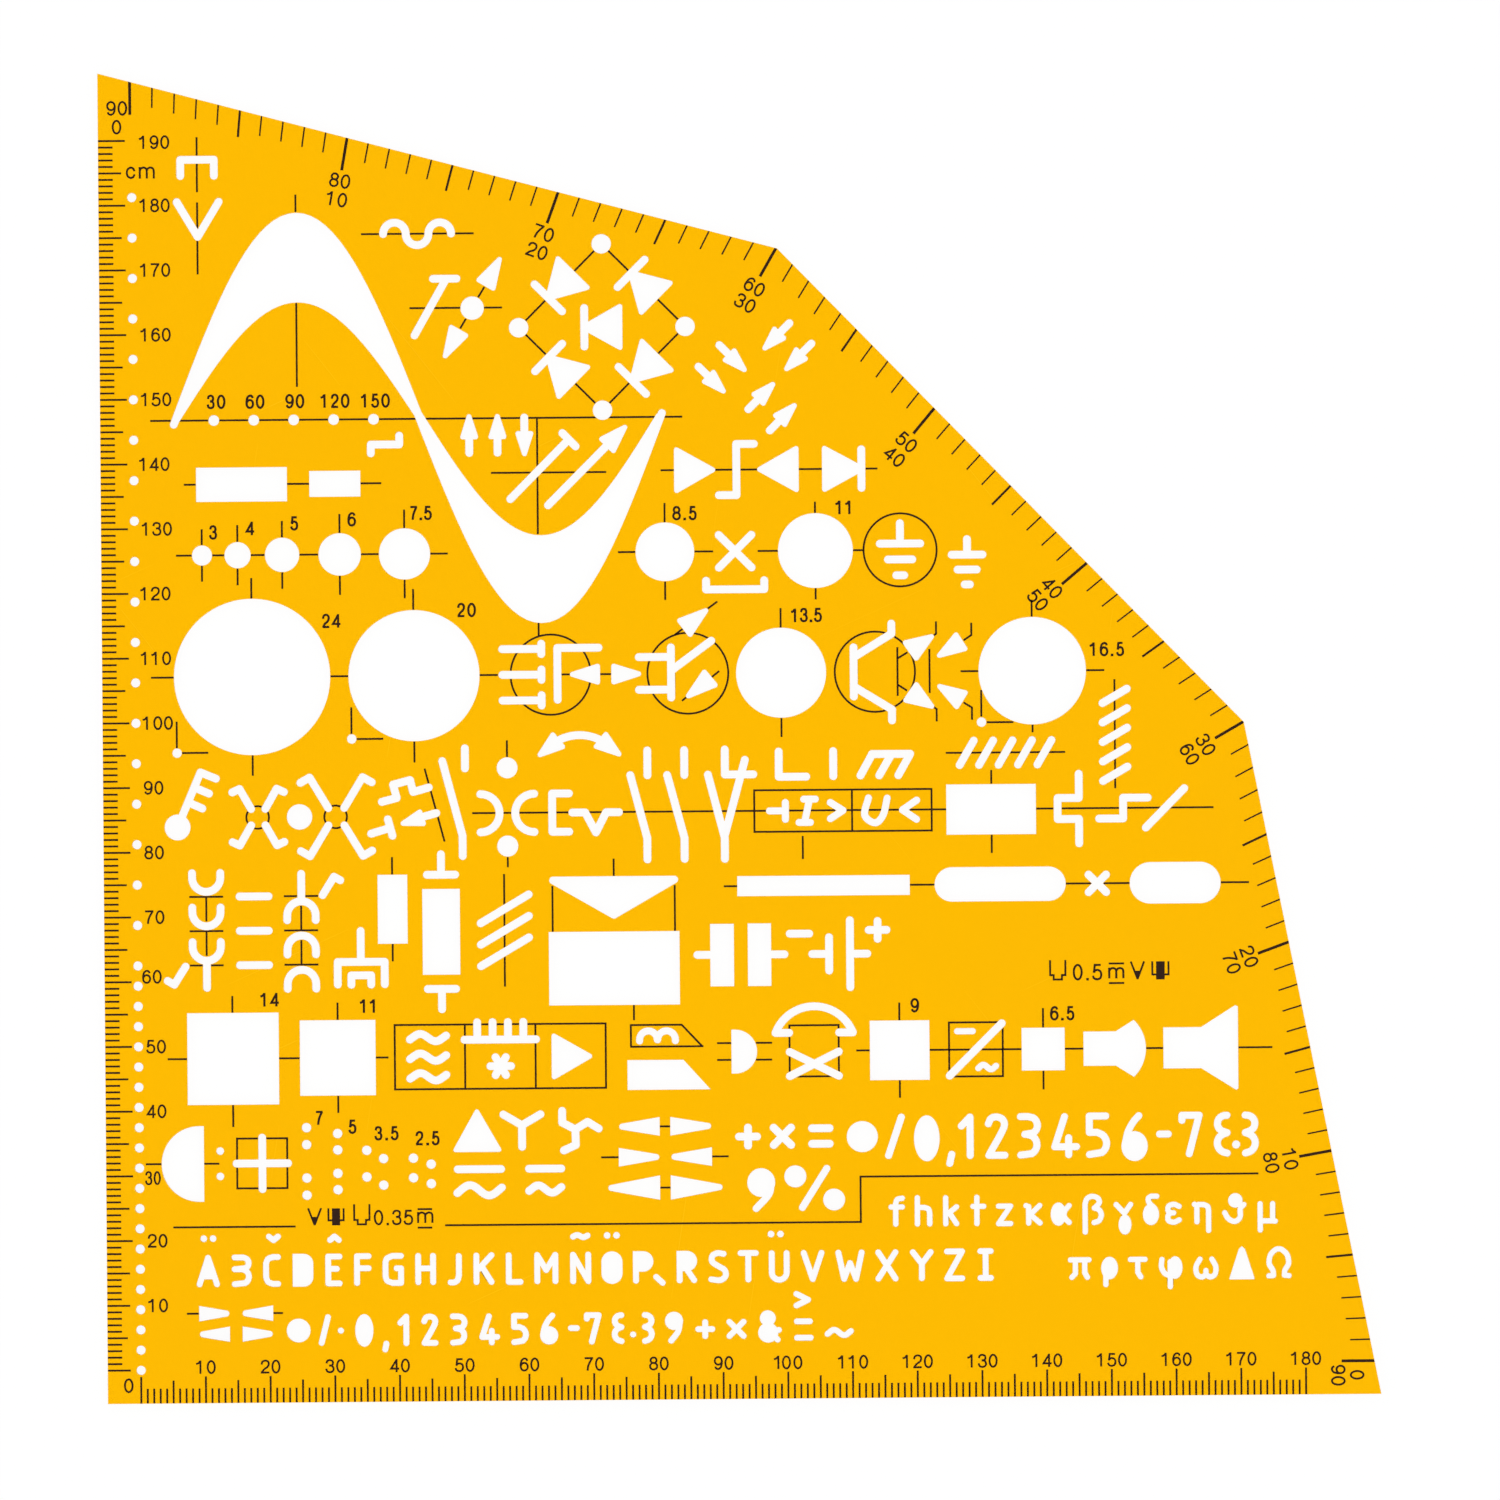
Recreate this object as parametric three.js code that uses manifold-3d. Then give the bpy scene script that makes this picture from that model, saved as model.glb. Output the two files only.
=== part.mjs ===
// An electrical symbol template: one flat sheet of tinted plastic with symbol cut-outs for a pen,
// and dark scales and guide lines printed on its top face. Millimetres, +Z up. The sheet rests on
// z = 0 with the middle of its box over the origin. Places on it are measured from the zero of its
// two scales, near its lower left corner, and are moved to that frame at the end.
import * as THREE from "three";
import { mergeVertices } from "three/addons/utils/BufferGeometryUtils.js";
import Module from "manifold-3d";

// The sheet, a right-angled corner closed by three slanted edges that meet on the 30 and 60 degree rays.
const sheetThickness = 1.25;
const edgeMargin = 5.17; // from the zero of the scales out to the left and bottom edges
const bottomEdgeEnd = 191.63;
const leftEdgeEnd = 200.46;
const ray30 = 197.7; // distance from the zero to the corner on the 30 degree ray
const ray60 = 199.3;

// The print.
const inkThickness = 0.0625;
const lineWidth = 0.25;
const shortestPrintedSolid = 4.45; // printed pieces under this length have no solid of their own
const edgeLine = 0.125; // the line along a scale's edge that its graduations hang on
const bottomScaleEnd = 180;
const leftScaleEnd = 190;
const unitTick = 2.3;
const fiveTick = 3.55;
const tenTick = 4.15;
const degreeTick = 3.15;
const fiveDegreeTick = 4.15;
const tenDegreeTick = 5.1;
const degreeWidth = 0.2;
const fiveDegreeWidth = 0.3;
const tenDegreeWidth = 0.4;
const angleMiddle = [-0.18, -0.02]; // the point that the degrees are drawn from

// The pen slots.
const slotWidth = 1.25;
const textWidth = 0.96; // slots of the 5 mm capitals
const fineWidth = 1.12; // slots of the small signs in frames
const scaleHole = 1.46; // diameter of the holes down the left scale
const pricked = 1.5; // diameter of the pricking holes
const dotPitch = 3.125; // spacing of the holes down the left scale
const headCorner = 0.4; // corner radius of the arrowheads and diodes
const capSides = 2; // flats round a slot's end
const squareReach = 0.38; // how far a letter's square ends reach, against the width of its slot
const arcStep = 50; // degrees a flat of a small curve turns through, at most

// The window between two sine curves.
const sineStart = 6.45;
const sineLength = 75.25;
const sineBase = 146.7;
const sineHigh = 31.4;
const sineLow = 18.75;
const sineSteps = 30;

const wasm = await Module();
wasm.setup();

// Outlines, as lists of [x, y] points.

const radians = (degrees) => (degrees * Math.PI) / 180;
const polar = (radius, degrees) => [
  radius * Math.cos(radians(degrees)),
  radius * Math.sin(radians(degrees)),
];

// An arc's points. A wider arc gets more of them.
function arc(x, y, radius, from, to) {
  const step = arcStep / Math.max(1, Math.sqrt(radius / 2));
  const sides = Math.max(1, Math.ceil(Math.abs(to - from) / step));
  return Array.from({ length: sides + 1 }, (_, i) => {
    const [dx, dy] = polar(radius, from + ((to - from) * i) / sides);
    return [x + dx, y + dy];
  });
}

// The outline of a pen slot along a path: straight sides, faceted ends, mitred bends.
function stroke(width, points, capFlats = capSides, overhang = 0) {
  const half = width / 2;
  const path = points.filter(
    (p, i) => i === 0 || Math.hypot(p[0] - points[i - 1][0], p[1] - points[i - 1][1]) > 0.02,
  );
  const heading = (i) => Math.atan2(path[i + 1][1] - path[i][1], path[i + 1][0] - path[i][0]);
  const offset = ([x, y], angle, distance = half) => [
    x + distance * Math.cos(angle),
    y + distance * Math.sin(angle),
  ];
  const cap = (point, angle) =>
    Array.from({ length: capFlats + 1 }, (_, i) =>
      offset(offset(point, angle, overhang), angle - Math.PI / 2 + (Math.PI * i) / capFlats),
    );
  const left = [];
  const right = [];
  for (let i = 1; i < path.length - 1; i++) {
    const before = heading(i - 1);
    const after = heading(i);
    const turn = Math.atan2(Math.sin(after - before), Math.cos(after - before));
    const middle = before + turn / 2;
    const reach = half / Math.cos(turn / 2);
    const outside = Math.abs(turn) > radians(100) ? "bevelled" : "mitred";
    for (const [side, quarter] of [
      [left, Math.PI / 2],
      [right, -Math.PI / 2],
    ]) {
      const inner = turn * quarter > 0;
      if (inner || outside === "mitred") {
        side.push(offset(path[i], middle + quarter, reach));
      } else {
        side.push(offset(path[i], before + turn / 5 + quarter));
        side.push(offset(path[i], after - turn / 5 + quarter));
      }
    }
  }
  const start = cap(path[0], heading(0) + Math.PI);
  const end = cap(path.at(-1), heading(path.length - 2));
  return [...right, ...end, ...left.reverse(), ...start];
}

const slot = (...points) => stroke(slotWidth, points);
const text = (...points) => stroke(textWidth, points, 1, squareReach * textWidth);
const fine = (...points) => stroke(fineWidth, points);

const box = (x0, y0, x1, y1) => [
  [x0, y0],
  [x1, y0],
  [x1, y1],
  [x0, y1],
];

// A round hole of the right area for its diameter, with more flats when it is larger.
function disc(x, y, diameter) {
  const sides = diameter < 1.8 ? 6 : Math.min(32, 2 * Math.round(4 + diameter * 0.55));
  return oval(x, y, diameter, diameter, sides);
}

function oval(x, y, width, height, sides = 12) {
  const swell = Math.sqrt((2 * Math.PI) / (sides * Math.sin((2 * Math.PI) / sides)));
  return Array.from({ length: sides }, (_, i) => {
    const [cos, sin] = polar(swell / 2, (360 * i) / sides);
    return [x + width * cos, y + height * sin];
  });
}

// A convex outline with round corners about the given points, which run counter-clockwise.
function rounded(radius, ...centres) {
  return centres.flatMap((centre, i) => {
    const before = centres.at(i - 1);
    const after = centres[(i + 1) % centres.length];
    const from = Math.atan2(centre[1] - before[1], centre[0] - before[0]) - Math.PI / 2;
    let turn = Math.atan2(after[1] - centre[1], after[0] - centre[0]) - Math.PI / 2 - from;
    if (turn < 0) turn += 2 * Math.PI;
    return [from, from + turn].map((angle) => [
      centre[0] + radius * Math.cos(angle),
      centre[1] + radius * Math.sin(angle),
    ]);
  });
}

// Shapes that recur, as lists of outlines.

// The outlines drawn at the origin, turned and moved to a place.
function placed(x, y, degrees, outlines) {
  const [cos, sin] = polar(1, degrees);
  return outlines.map((outline) =>
    outline.map(([u, v]) => [x + u * cos - v * sin, y + u * sin + v * cos]),
  );
}

const times = (count, make) => Array.from({ length: count }, (_, k) => make(k)).flat();
const across = (x0, x1, y) => slot([x0, y], [x1, y]);
const upright = (x, y0, y1) => slot([x, y0], [x, y1]);
const arrowhead = (...centres) => rounded(headCorner, ...centres);

// A bar with the tip of a triangle on it.
const diode = (x, y, degrees, length = 5.5) =>
  placed(x, y, degrees, [
    slot([0, -2.98], [0, 2.98]),
    rounded(headCorner, [-0.15, 0], [length, -3.17], [length, 3.17]),
  ]);

// An arrow from the middle of its round tail.
const arrow = (x, y, degrees, length) =>
  placed(x, y, degrees, [
    slot([0, 0], [length - 2.6, 0]),
    rounded(headCorner, [length - 3.13, -1], [length, 0], [length - 3.13, 1]),
  ]);

// A plus sign, or a multiplication sign when turned.
const plus = (x, y, reach, degrees, pen) =>
  placed(x, y, degrees, [pen([-reach, 0], [reach, 0]), pen([0, -reach], [0, reach])]);

// Three shortening bars under a stem.
const ground = (x, y, pitch, halves, stem) => [
  ...halves.map((half, k) => across(x - half, x + half, y - k * pitch)),
  upright(x, y + 0.3, stem),
];

// A tapered cut-out from a flat wide end to a round narrow one.
const wedge = (wide, narrow, y, half) => {
  const toWide = Math.sign(wide - narrow);
  const tip = narrow + toWide * 0.5;
  return [
    [wide, y - half],
    [wide, y + half],
    [tip, y + 0.5],
    [narrow, y],
    [tip, y - 0.5],
  ];
};

// One wave in a slot.
const tilde = (x, y, width, rise, pen) =>
  pen(
    [x - width / 2, y - rise * 0.75],
    [x - width * 0.3, y + rise * 0.9],
    [x - width * 0.12, y + rise * 0.9],
    [x + width * 0.12, y - rise * 0.9],
    [x + width * 0.3, y - rise * 0.9],
    [x + width / 2, y + rise * 0.75],
  );

// The cut-outs, from the top of the sheet down.

const scaleHoles = [
  ...times(21, (k) => [disc(0, k * dotPitch, scaleHole)]),
  ...times(19, (k) => [disc(0, (22 + 2 * k) * dotPitch, scaleHole)]),
];

const topSymbols = [
  slot([7.53, 184.53], [7.53, 187.02], [12.72, 187.02], [12.72, 184.53]),
  slot([6.93, 180.5], [10.15, 175.1], [13.42, 180.5]),
  slot(
    ...arc(40.55, 175.3, 1.75, 180, 0),
    ...arc(44.05, 175.3, 1.75, 180, 360),
    ...arc(47.55, 175.3, 1.75, 180, 0),
  ),
  across(46.45, 50.08, 168.33),
  slot([48.35, 168.05], [43.62, 159.6]),
  disc(52.47, 163.75, 3.65),
  arrowhead([53.55, 168.1], [55.75, 166.8], [56.75, 171.25]),
  arrowhead([49.2, 160.8], [48.25, 156.4], [51.45, 159.5]),
];

const bridge = [
  disc(72.49, 173.52, 3.05),
  disc(59.63, 160.66, 3.05),
  disc(85.35, 160.66, 3.05),
  disc(72.49, 147.81, 3.05),
  ...diode(69.78, 160.65, 0),
  ...diode(64.25, 165.25, 45, 5.35),
  ...diode(77.08, 168.92, -45, 5.35),
  ...diode(64.23, 156.02, -45, 5.35),
  ...diode(77.13, 152.38, 45, 5.35),
];

const arrows = [
  ...arrow(51.85, 141.375, 90, 5.6),
  ...arrow(56.22, 141.375, 90, 5.6),
  ...arrow(60.38, 146.775, 270, 5.6),
  ...arrow(101.475, 161.03, 225, 5.25),
  ...arrow(104.875, 157.825, 225, 5.25),
  ...arrow(90.625, 157.725, -45, 5.25),
  ...arrow(87.375, 154.425, -45, 5.25),
  ...arrow(95.025, 147.775, 45, 5.25),
  ...arrow(98.325, 144.475, 45, 5.25),
  ...arrow(63.95, 133.18, 45, 16.9),
];

// The big window between two sine curves of one wavelength.
const sinePoints = (height) =>
  Array.from({ length: sineSteps + 1 }, (_, i) => [
    sineStart + (sineLength * i) / sineSteps,
    sineBase + height * Math.sin((2 * Math.PI * i) / sineSteps),
  ]);
const sineWindow = [
  slot(...sinePoints(sineHigh)),
  slot(...sinePoints(sineLow)),
  [
    ...sinePoints(sineHigh).slice(0, sineSteps / 2 + 1),
    ...sinePoints(sineLow).slice(1, sineSteps / 2).reverse(),
  ],
  [
    ...sinePoints(sineHigh).slice(sineSteps / 2),
    ...sinePoints(sineLow).slice(sineSteps / 2 + 1, -1).reverse(),
  ],
];

const upperSymbols = [
  ...times(5, (k) => [disc(12.41 + 6.17 * k, sineBase, 1.75)]),
  disc(6.32, 95.34, pricked),
  disc(33.32, 97.31, pricked),
  disc(130.67, 99.13, pricked),
  slot([36.63, 141.43], [36.63, 142.78], [41.03, 142.78], [41.03, 144.13]),
  slot([58.13, 134.18], [66.9, 143.0]),
  slot([66.25, 144.33], [68.28, 142.25]),
  box(9.55, 134.1, 23.65, 139.45),
  box(27.05, 134.75, 35.0, 138.8),
  arrowhead([83.85, 135.3], [89.45, 138.46], [83.85, 141.6]),
  arrowhead([102.35, 135.3], [102.35, 141.65], [96.7, 138.47]),
  slot([95.83, 142.42], [93.1, 142.42], [93.1, 134.53], [90.37, 134.53]),
  ...diode(112.475, 138.47, 180),
];

const circles = [
  disc(10.41, 125.85, 3.15),
  disc(15.91, 125.85, 4.1),
  disc(22.79, 125.85, 5.35),
  disc(31.69, 125.85, 6.6),
  disc(41.71, 125.85, 7.95),
  disc(81.95, 125.85, 9.1),
  disc(105.22, 125.85, 11.6),
  disc(18.0, 107.02, 24.2),
  disc(43.02, 107.02, 20.3),
  disc(99.76, 107.02, 13.95),
  disc(138.57, 107.02, 16.65),
];

const grounds = [
  ...plus(92.81, 125.85, 3.57, 45, slot),
  slot([88.28, 121.33], [88.28, 119.97], [97.27, 119.97], [97.27, 121.33]),
  ...ground(118.3, 126.83, 2.45, [3.12, 1.88, 0.61], 129.98),
  ...ground(128.65, 125.03, 2.3, [2.38, 1.48, 0.41], 127.43),
];

const transistors = [
  ...[103.05, 107.02, 111.0].flatMap((y) => [across(56.68, 62.42, y), upright(62.72, y - 0.8, y + 0.8)]),
  slot([71.57, 111.12], [65.2, 111.12], [65.2, 103.12]),
  arrowhead([71.4, 105.8], [71.4, 108.24], [67.5, 107.02]),
  arrowhead([73.9, 105.8], [77.75, 107.02], [73.9, 108.24]),
  upright(82.75, 103.32, 111.4),
  across(77.78, 82.45, 109.6),
  across(77.78, 82.45, 104.55),
  slot([83.0, 107.65], [89.0, 111.9]),
  arrowhead([84.15, 115.2], [85.75, 113.05], [88.2, 116.7]),
  arrowhead([87.9, 107.2], [85.4, 103.55], [89.55, 105.2]),
  upright(110.98, 103.25, 110.85),
  slot([111.3, 109.5], [116.85, 112.9], [116.85, 114.47]),
  slot([111.3, 104.6], [116.85, 101.2], [116.85, 99.52]),
  arrowhead([119.0, 111.5], [120.65, 109.1], [123.05, 112.4]),
  arrowhead([119.0, 102.6], [123.0, 101.65], [120.65, 105.0]),
  arrowhead([124.25, 109.5], [128.2, 110.5], [126.85, 112.65]),
  arrowhead([124.25, 104.7], [126.85, 101.55], [128.2, 103.7]),
];

const slants = [
  ...times(5, (k) => [slot([149.38, 101.92 - 3.01 * k], [153.17, 104.12 - 3.01 * k])]),
  ...times(5, (k) => [slot([127.24 + 3.005 * k, 92.52], [129.44 + 3.005 * k, 96.28])]),
  ...times(3, (k) => [slot([53.02, 68.67 - 3.32 * k], [60.48, 73.07 - 3.32 * k])]),
];

const antennas = [
  disc(6.3, 83.85, 4.04),
  slot([6.3, 83.85], [9.9, 92.33], [12.28, 91.35]),
  slot([9.2, 89.9], [11.2, 89.05]),
  slot([8.25, 87.6], [10.15, 86.75]),
  ...[-1, 1].flatMap((end) => [
    ...[14.78, 22.78].map((x) => {
      const inward = Math.sign(18.78 - x);
      return slot(
        [x, 85.35 - end * 3.85],
        [x + inward * 1.13, 85.35 - end * 4.4],
        [x + inward * 2.97, 85.33 - end * 1.25],
      );
    }),
    ...[25.33, 36.36].map((x) => {
      const inward = Math.sign(30.85 - x);
      return slot(
        [x, 85.32 - end * 5.28],
        [x + inward * 1.42, 85.32 - end * 6.08],
        [x + inward * 4.35, 85.3 - end * 1.33],
      );
    }),
  ]),
  disc(25.16, 85.33, 3.97),
];

const middleSymbols = [
  disc(57.3, 92.66, 3.27),
  disc(57.3, 80.57, 3.3),
  upright(50.79, 92.63, 95.73),
  upright(78.98, 91.33, 95.17),
  upright(84.68, 91.33, 95.17),
  upright(107.7, 90.97, 94.83),
  slot(...arc(68.5, 90.63, 7.0, 115, 65)),
  arrowhead([62.4, 94.65], [65.9, 95.85], [64.4, 97.7]),
  arrowhead([74.6, 94.65], [72.6, 97.7], [71.1, 95.85]),
  slot([38.8, 84.85], [39.5, 82.3]),
  slot([36.2, 82.65], [38.85, 83.43]),
  slot([37.85, 87.5], [40.2, 88.15], [39.65, 90.25], [42.3, 90.95], [42.75, 89.05], [45.2, 89.75]),
  slot([46.3, 85.75], [43.8, 85.08]),
  arrowhead([43.75, 85.95], [41.15, 84.2], [44.3, 84.15]),
  slot([47.28, 93.78], [50.33, 82.2], [50.33, 79.08]),
  slot([76.32, 91.38], [78.88, 81.6], [78.88, 78.33]),
  slot([82.02, 91.35], [84.63, 81.6], [84.63, 78.37]),
  slot([88.32, 91.35], [90.85, 81.6], [90.85, 78.32]),
  slot([90.9, 82.1], [94.05, 93.6]),
  slot([90.95, 95.22], [90.95, 91.35], [95.33, 91.35]),
  slot([53.12, 88.62], ...arc(53.12, 85.67, 2.95, 80, -80), [53.12, 82.72]),
  slot([61.45, 88.62], ...arc(61.45, 85.67, 2.95, 100, 260), [61.45, 82.72]),
  slot([66.82, 88.63], [64.22, 88.63], [64.22, 82.72], [66.82, 82.72]),
  slot([67.33, 85.67], [69.3, 85.67], [70.95, 82.57], [72.55, 85.67], [74.53, 85.67]),
  slot([99.28, 94.83], [99.28, 90.93], [103.52, 90.93]),
  across(113.7, 119.6, 94.33),
  slot([111.9, 91.03], [113.6, 94.1]),
  slot([114.8, 91.03], [116.6, 94.1]),
  slot([117.75, 91.03], [119.5, 94.1]),
  box(125.05, 81.7, 139.05, 89.6),
  slot([145.62, 91.03], [145.62, 87.3], [142.33, 87.3], [142.33, 84.05], [145.62, 84.05], [145.62, 80.28]),
  slot([148.73, 84.07], [152.45, 84.07], [152.45, 87.27], [156.27, 87.27]),
  slot([155.93, 82.63], [161.92, 88.67]),
];

// The small signs in the relay frame.
const relaySigns = [
  fine([97.8, 85.67], [99.95, 85.67]),
  fine([100.25, 84.35], [100.25, 86.95]),
  fine([103.1, 87.45], [104.9, 87.45]),
  fine([102.35, 83.85], [104.1, 83.85]),
  fine([103.25, 84.05], [103.95, 87.25]),
  fine([107.2, 86.9], [109.15, 85.67], [107.2, 84.4]),
  fine([113.1, 87.55], [112.45, 84.6], [114.1, 83.7], [115.35, 84.8], [116.0, 87.5]),
  fine([120.55, 87.15], [118.35, 85.67], [120.5, 84.2]),
];

const coils = [
  ...times(3, (k) => [
    slot(
      [8.47, 76.77 - 5.33 * k],
      ...arc(10.65, 76.05 - 5.33 * k, 2.18, 180, 360),
      [12.83, 76.77 - 5.33 * k],
    ),
    slot(
      [23.13, 69.38 - 5.3 * k],
      ...arc(25.33, 70.1 - 5.3 * k, 2.2, 180, 0),
      [27.53, 69.38 - 5.3 * k],
    ),
    across(15.78, 20.27, 73.1 - 5.31 * k),
  ]),
  upright(10.66, 62.9, 59.03),
  upright(25.33, 72.6, 76.53),
];

const lowerSymbols = [
  across(44.77, 49.13, 76.22),
  upright(46.95, 76.52, 79.38),
  across(44.77, 49.13, 58.57),
  upright(46.95, 58.27, 55.43),
  slot([28.63, 73.22], [30.4, 76.05], [31.37, 75.5]),
  slot([4.58, 60.15], [5.6, 59.55], [7.37, 62.33]),
  slot([30.87, 59.38], [30.87, 62.85], [38.13, 62.85], [38.13, 59.38]),
  upright(34.45, 63.15, 67.63),
  slot([32.97, 59.33], [32.97, 60.77], [36.03, 60.77], [36.03, 59.33]),
  box(37.1, 65.6, 41.75, 76.3),
  box(44.0, 60.75, 49.85, 74.05),
  rounded(0.6, [64.25, 75.2], [73.62, 69.8], [83.0, 75.2]),
  box(63.5, 55.85, 83.75, 67.25),
  box(88.45, 58.6, 92.15, 68.3),
  across(86.47, 88.5, 63.5),
  box(94.25, 58.6, 97.9, 68.33),
  across(97.8, 99.93, 63.5),
  across(100.77, 103.78, 66.67),
  upright(106.83, 60.93, 66.08),
  across(104.23, 106.53, 63.5),
  upright(110.07, 58.33, 68.68),
  across(110.37, 112.73, 63.5),
  ...plus(114.35, 67.15, 1.38, 0, slot),
  box(92.7, 72.5, 119.4, 75.65),
  stroke(5.35, [[125.875, 74.08], [140.825, 74.08]], 6),
  stroke(6.45, [[156.575, 74.08], [164.225, 74.08]], 6),
  ...plus(148.37, 74.07, 1.92, 45, slot),
];

const buildingSymbols = [
  box(7.5, 40.9, 21.7, 55.15),
  box(24.9, 42.2, 36.65, 53.9),
  box(113.0, 43.9, 122.25, 53.15),
  box(136.45, 45.2, 143.15, 51.85),
  [[10, 37.69], ...arc(9.27, 31.82, 5.87, 90, 270), [10, 25.95]],
  ...plus(18.98, 31.83, 3.98, 0, slot),
  disc(12.48, 33.79, 1.23),
  disc(12.47, 29.87, 1.23),
  ...times(3, (k) => [tilde(44.73, 51.07 - 3.03 * k, 5.6, 0.55, slot)]),
  across(50.37, 61.43, 50.68),
  ...times(4, (k) => [upright(52.35 + 2.375 * k, 50.98, 53.38)]),
  ...times(3, (k) => placed(55.94, 46.57, 60 * k, [slot([-1.6, 0], [1.6, 0])])),
  rounded(headCorner, [64.2, 44.85], [69.7, 48.0], [64.2, 51.15]),
  fine(
    [77.43, 50.28],
    ...arc(78.8, 50.45, 1.37, 180, 0),
    ...arc(81.6, 50.45, 1.37, 180, 0),
    [82.97, 50.28],
  ),
  [[75.5, 42.7], [88.4, 42.7], [84.2, 47.35], [75.5, 47.35]],
  [[91.6, 51.94], ...arc(92.18, 48.52, 3.42, 90, -90), [91.6, 45.1]],
  slot([98.45, 51.35], ...arc(104.42, 49.02, 6.41, 157, 23), [110.4, 51.35]),
  across(98.45, 100.55, 51.35),
  across(108.3, 110.4, 51.35),
  slot([100.62, 48.4], [108.2, 44.65]),
  slot([100.62, 44.65], [108.2, 48.4]),
  slot([125.32, 44.53], [133.43, 52.57]),
  fine([126.52, 51.38], [128.93, 51.38]),
  tilde(131.12, 45.82, 2.75, 0.33, fine),
  [
    [146, 45.85], [151, 45.85], [153.8, 44.1], ...arc(149.52, 48.53, 6.18, -42.2, 42.2),
    [153.8, 52.95], [151, 51.2], [146, 51.2],
  ],
  [
    [158.35, 45.35], [164.2, 45.35], [169.6, 41.95], [169.95, 42.2], [169.95, 54.9],
    [169.5, 55.1], [164.2, 51.75], [158.35, 51.75],
  ],
];

const plugSymbols = [
  ...[
    [25.85, 37.3], [25.85, 34.67], [25.85, 29.52], [25.85, 26.86], [30.65, 36.35],
    [30.65, 33.82],
  ].map(([x, y]) => disc(x, y, pricked)),
  ...[
    [30.65, 30.2], [30.65, 27.67], [35.13, 33.72], [35.13, 29.61], [37.72, 32.42],
    [37.72, 28.32],
  ].map(([x, y]) => disc(x, y, pricked)),
  ...[
    [42.33, 32.45], [42.33, 29.42], [45.07, 31.51], [45.07, 28.49],
  ].map(([x, y]) => disc(x, y, pricked)),
  rounded(0.35, [48.85, 33.65], [55.6, 33.65], [52.2, 39.6]),
  upright(59.15, 37.1, 34.07),
  slot([56.28, 39.08], [59.15, 37.4], [62.02, 39.08]),
  slot([67.4, 36.7], [65.37, 37.75], [65.37, 39.58]),
  slot([67.4, 36.7], [69.3, 37.85], [71.0, 36.8]),
  slot([67.4, 36.7], [67.45, 34.3], [65.6, 33.45]),
  across(49.17, 55.87, 30.67),
  across(60.18, 65.17, 30.67),
  tilde(52.52, 27.4, 6.9, 0.78, slot),
  tilde(62.67, 27.52, 5.0, 0.55, slot),
  wedge(80.45, 74.15, 37.06, 1.48),
  wedge(82.05, 88.4, 37.06, 1.48),
  wedge(74.05, 80.35, 32.33, 1.48),
  wedge(88.5, 82.2, 32.33, 1.48),
  wedge(80.45, 72.4, 27.6, 1.92),
  wedge(82.05, 90.1, 27.6, 1.92),
  wedge(9.0, 13.7, 8.68, 1.18),
  wedge(20.55, 15.8, 8.68, 1.18),
  wedge(13.8, 9.15, 5.48, 1.18),
  wedge(15.7, 20.4, 5.48, 1.18),
  ...plus(94.07, 35.37, 1.4, 0, slot),
  ...plus(99.38, 35.37, 1.9, 45, slot),
  across(103.97, 106.68, 34.17),
  across(103.97, 106.68, 36.57),
  disc(111.73, 35.22, 4.85),
  disc(24.38, 5.96, 3.73),
];

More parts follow.
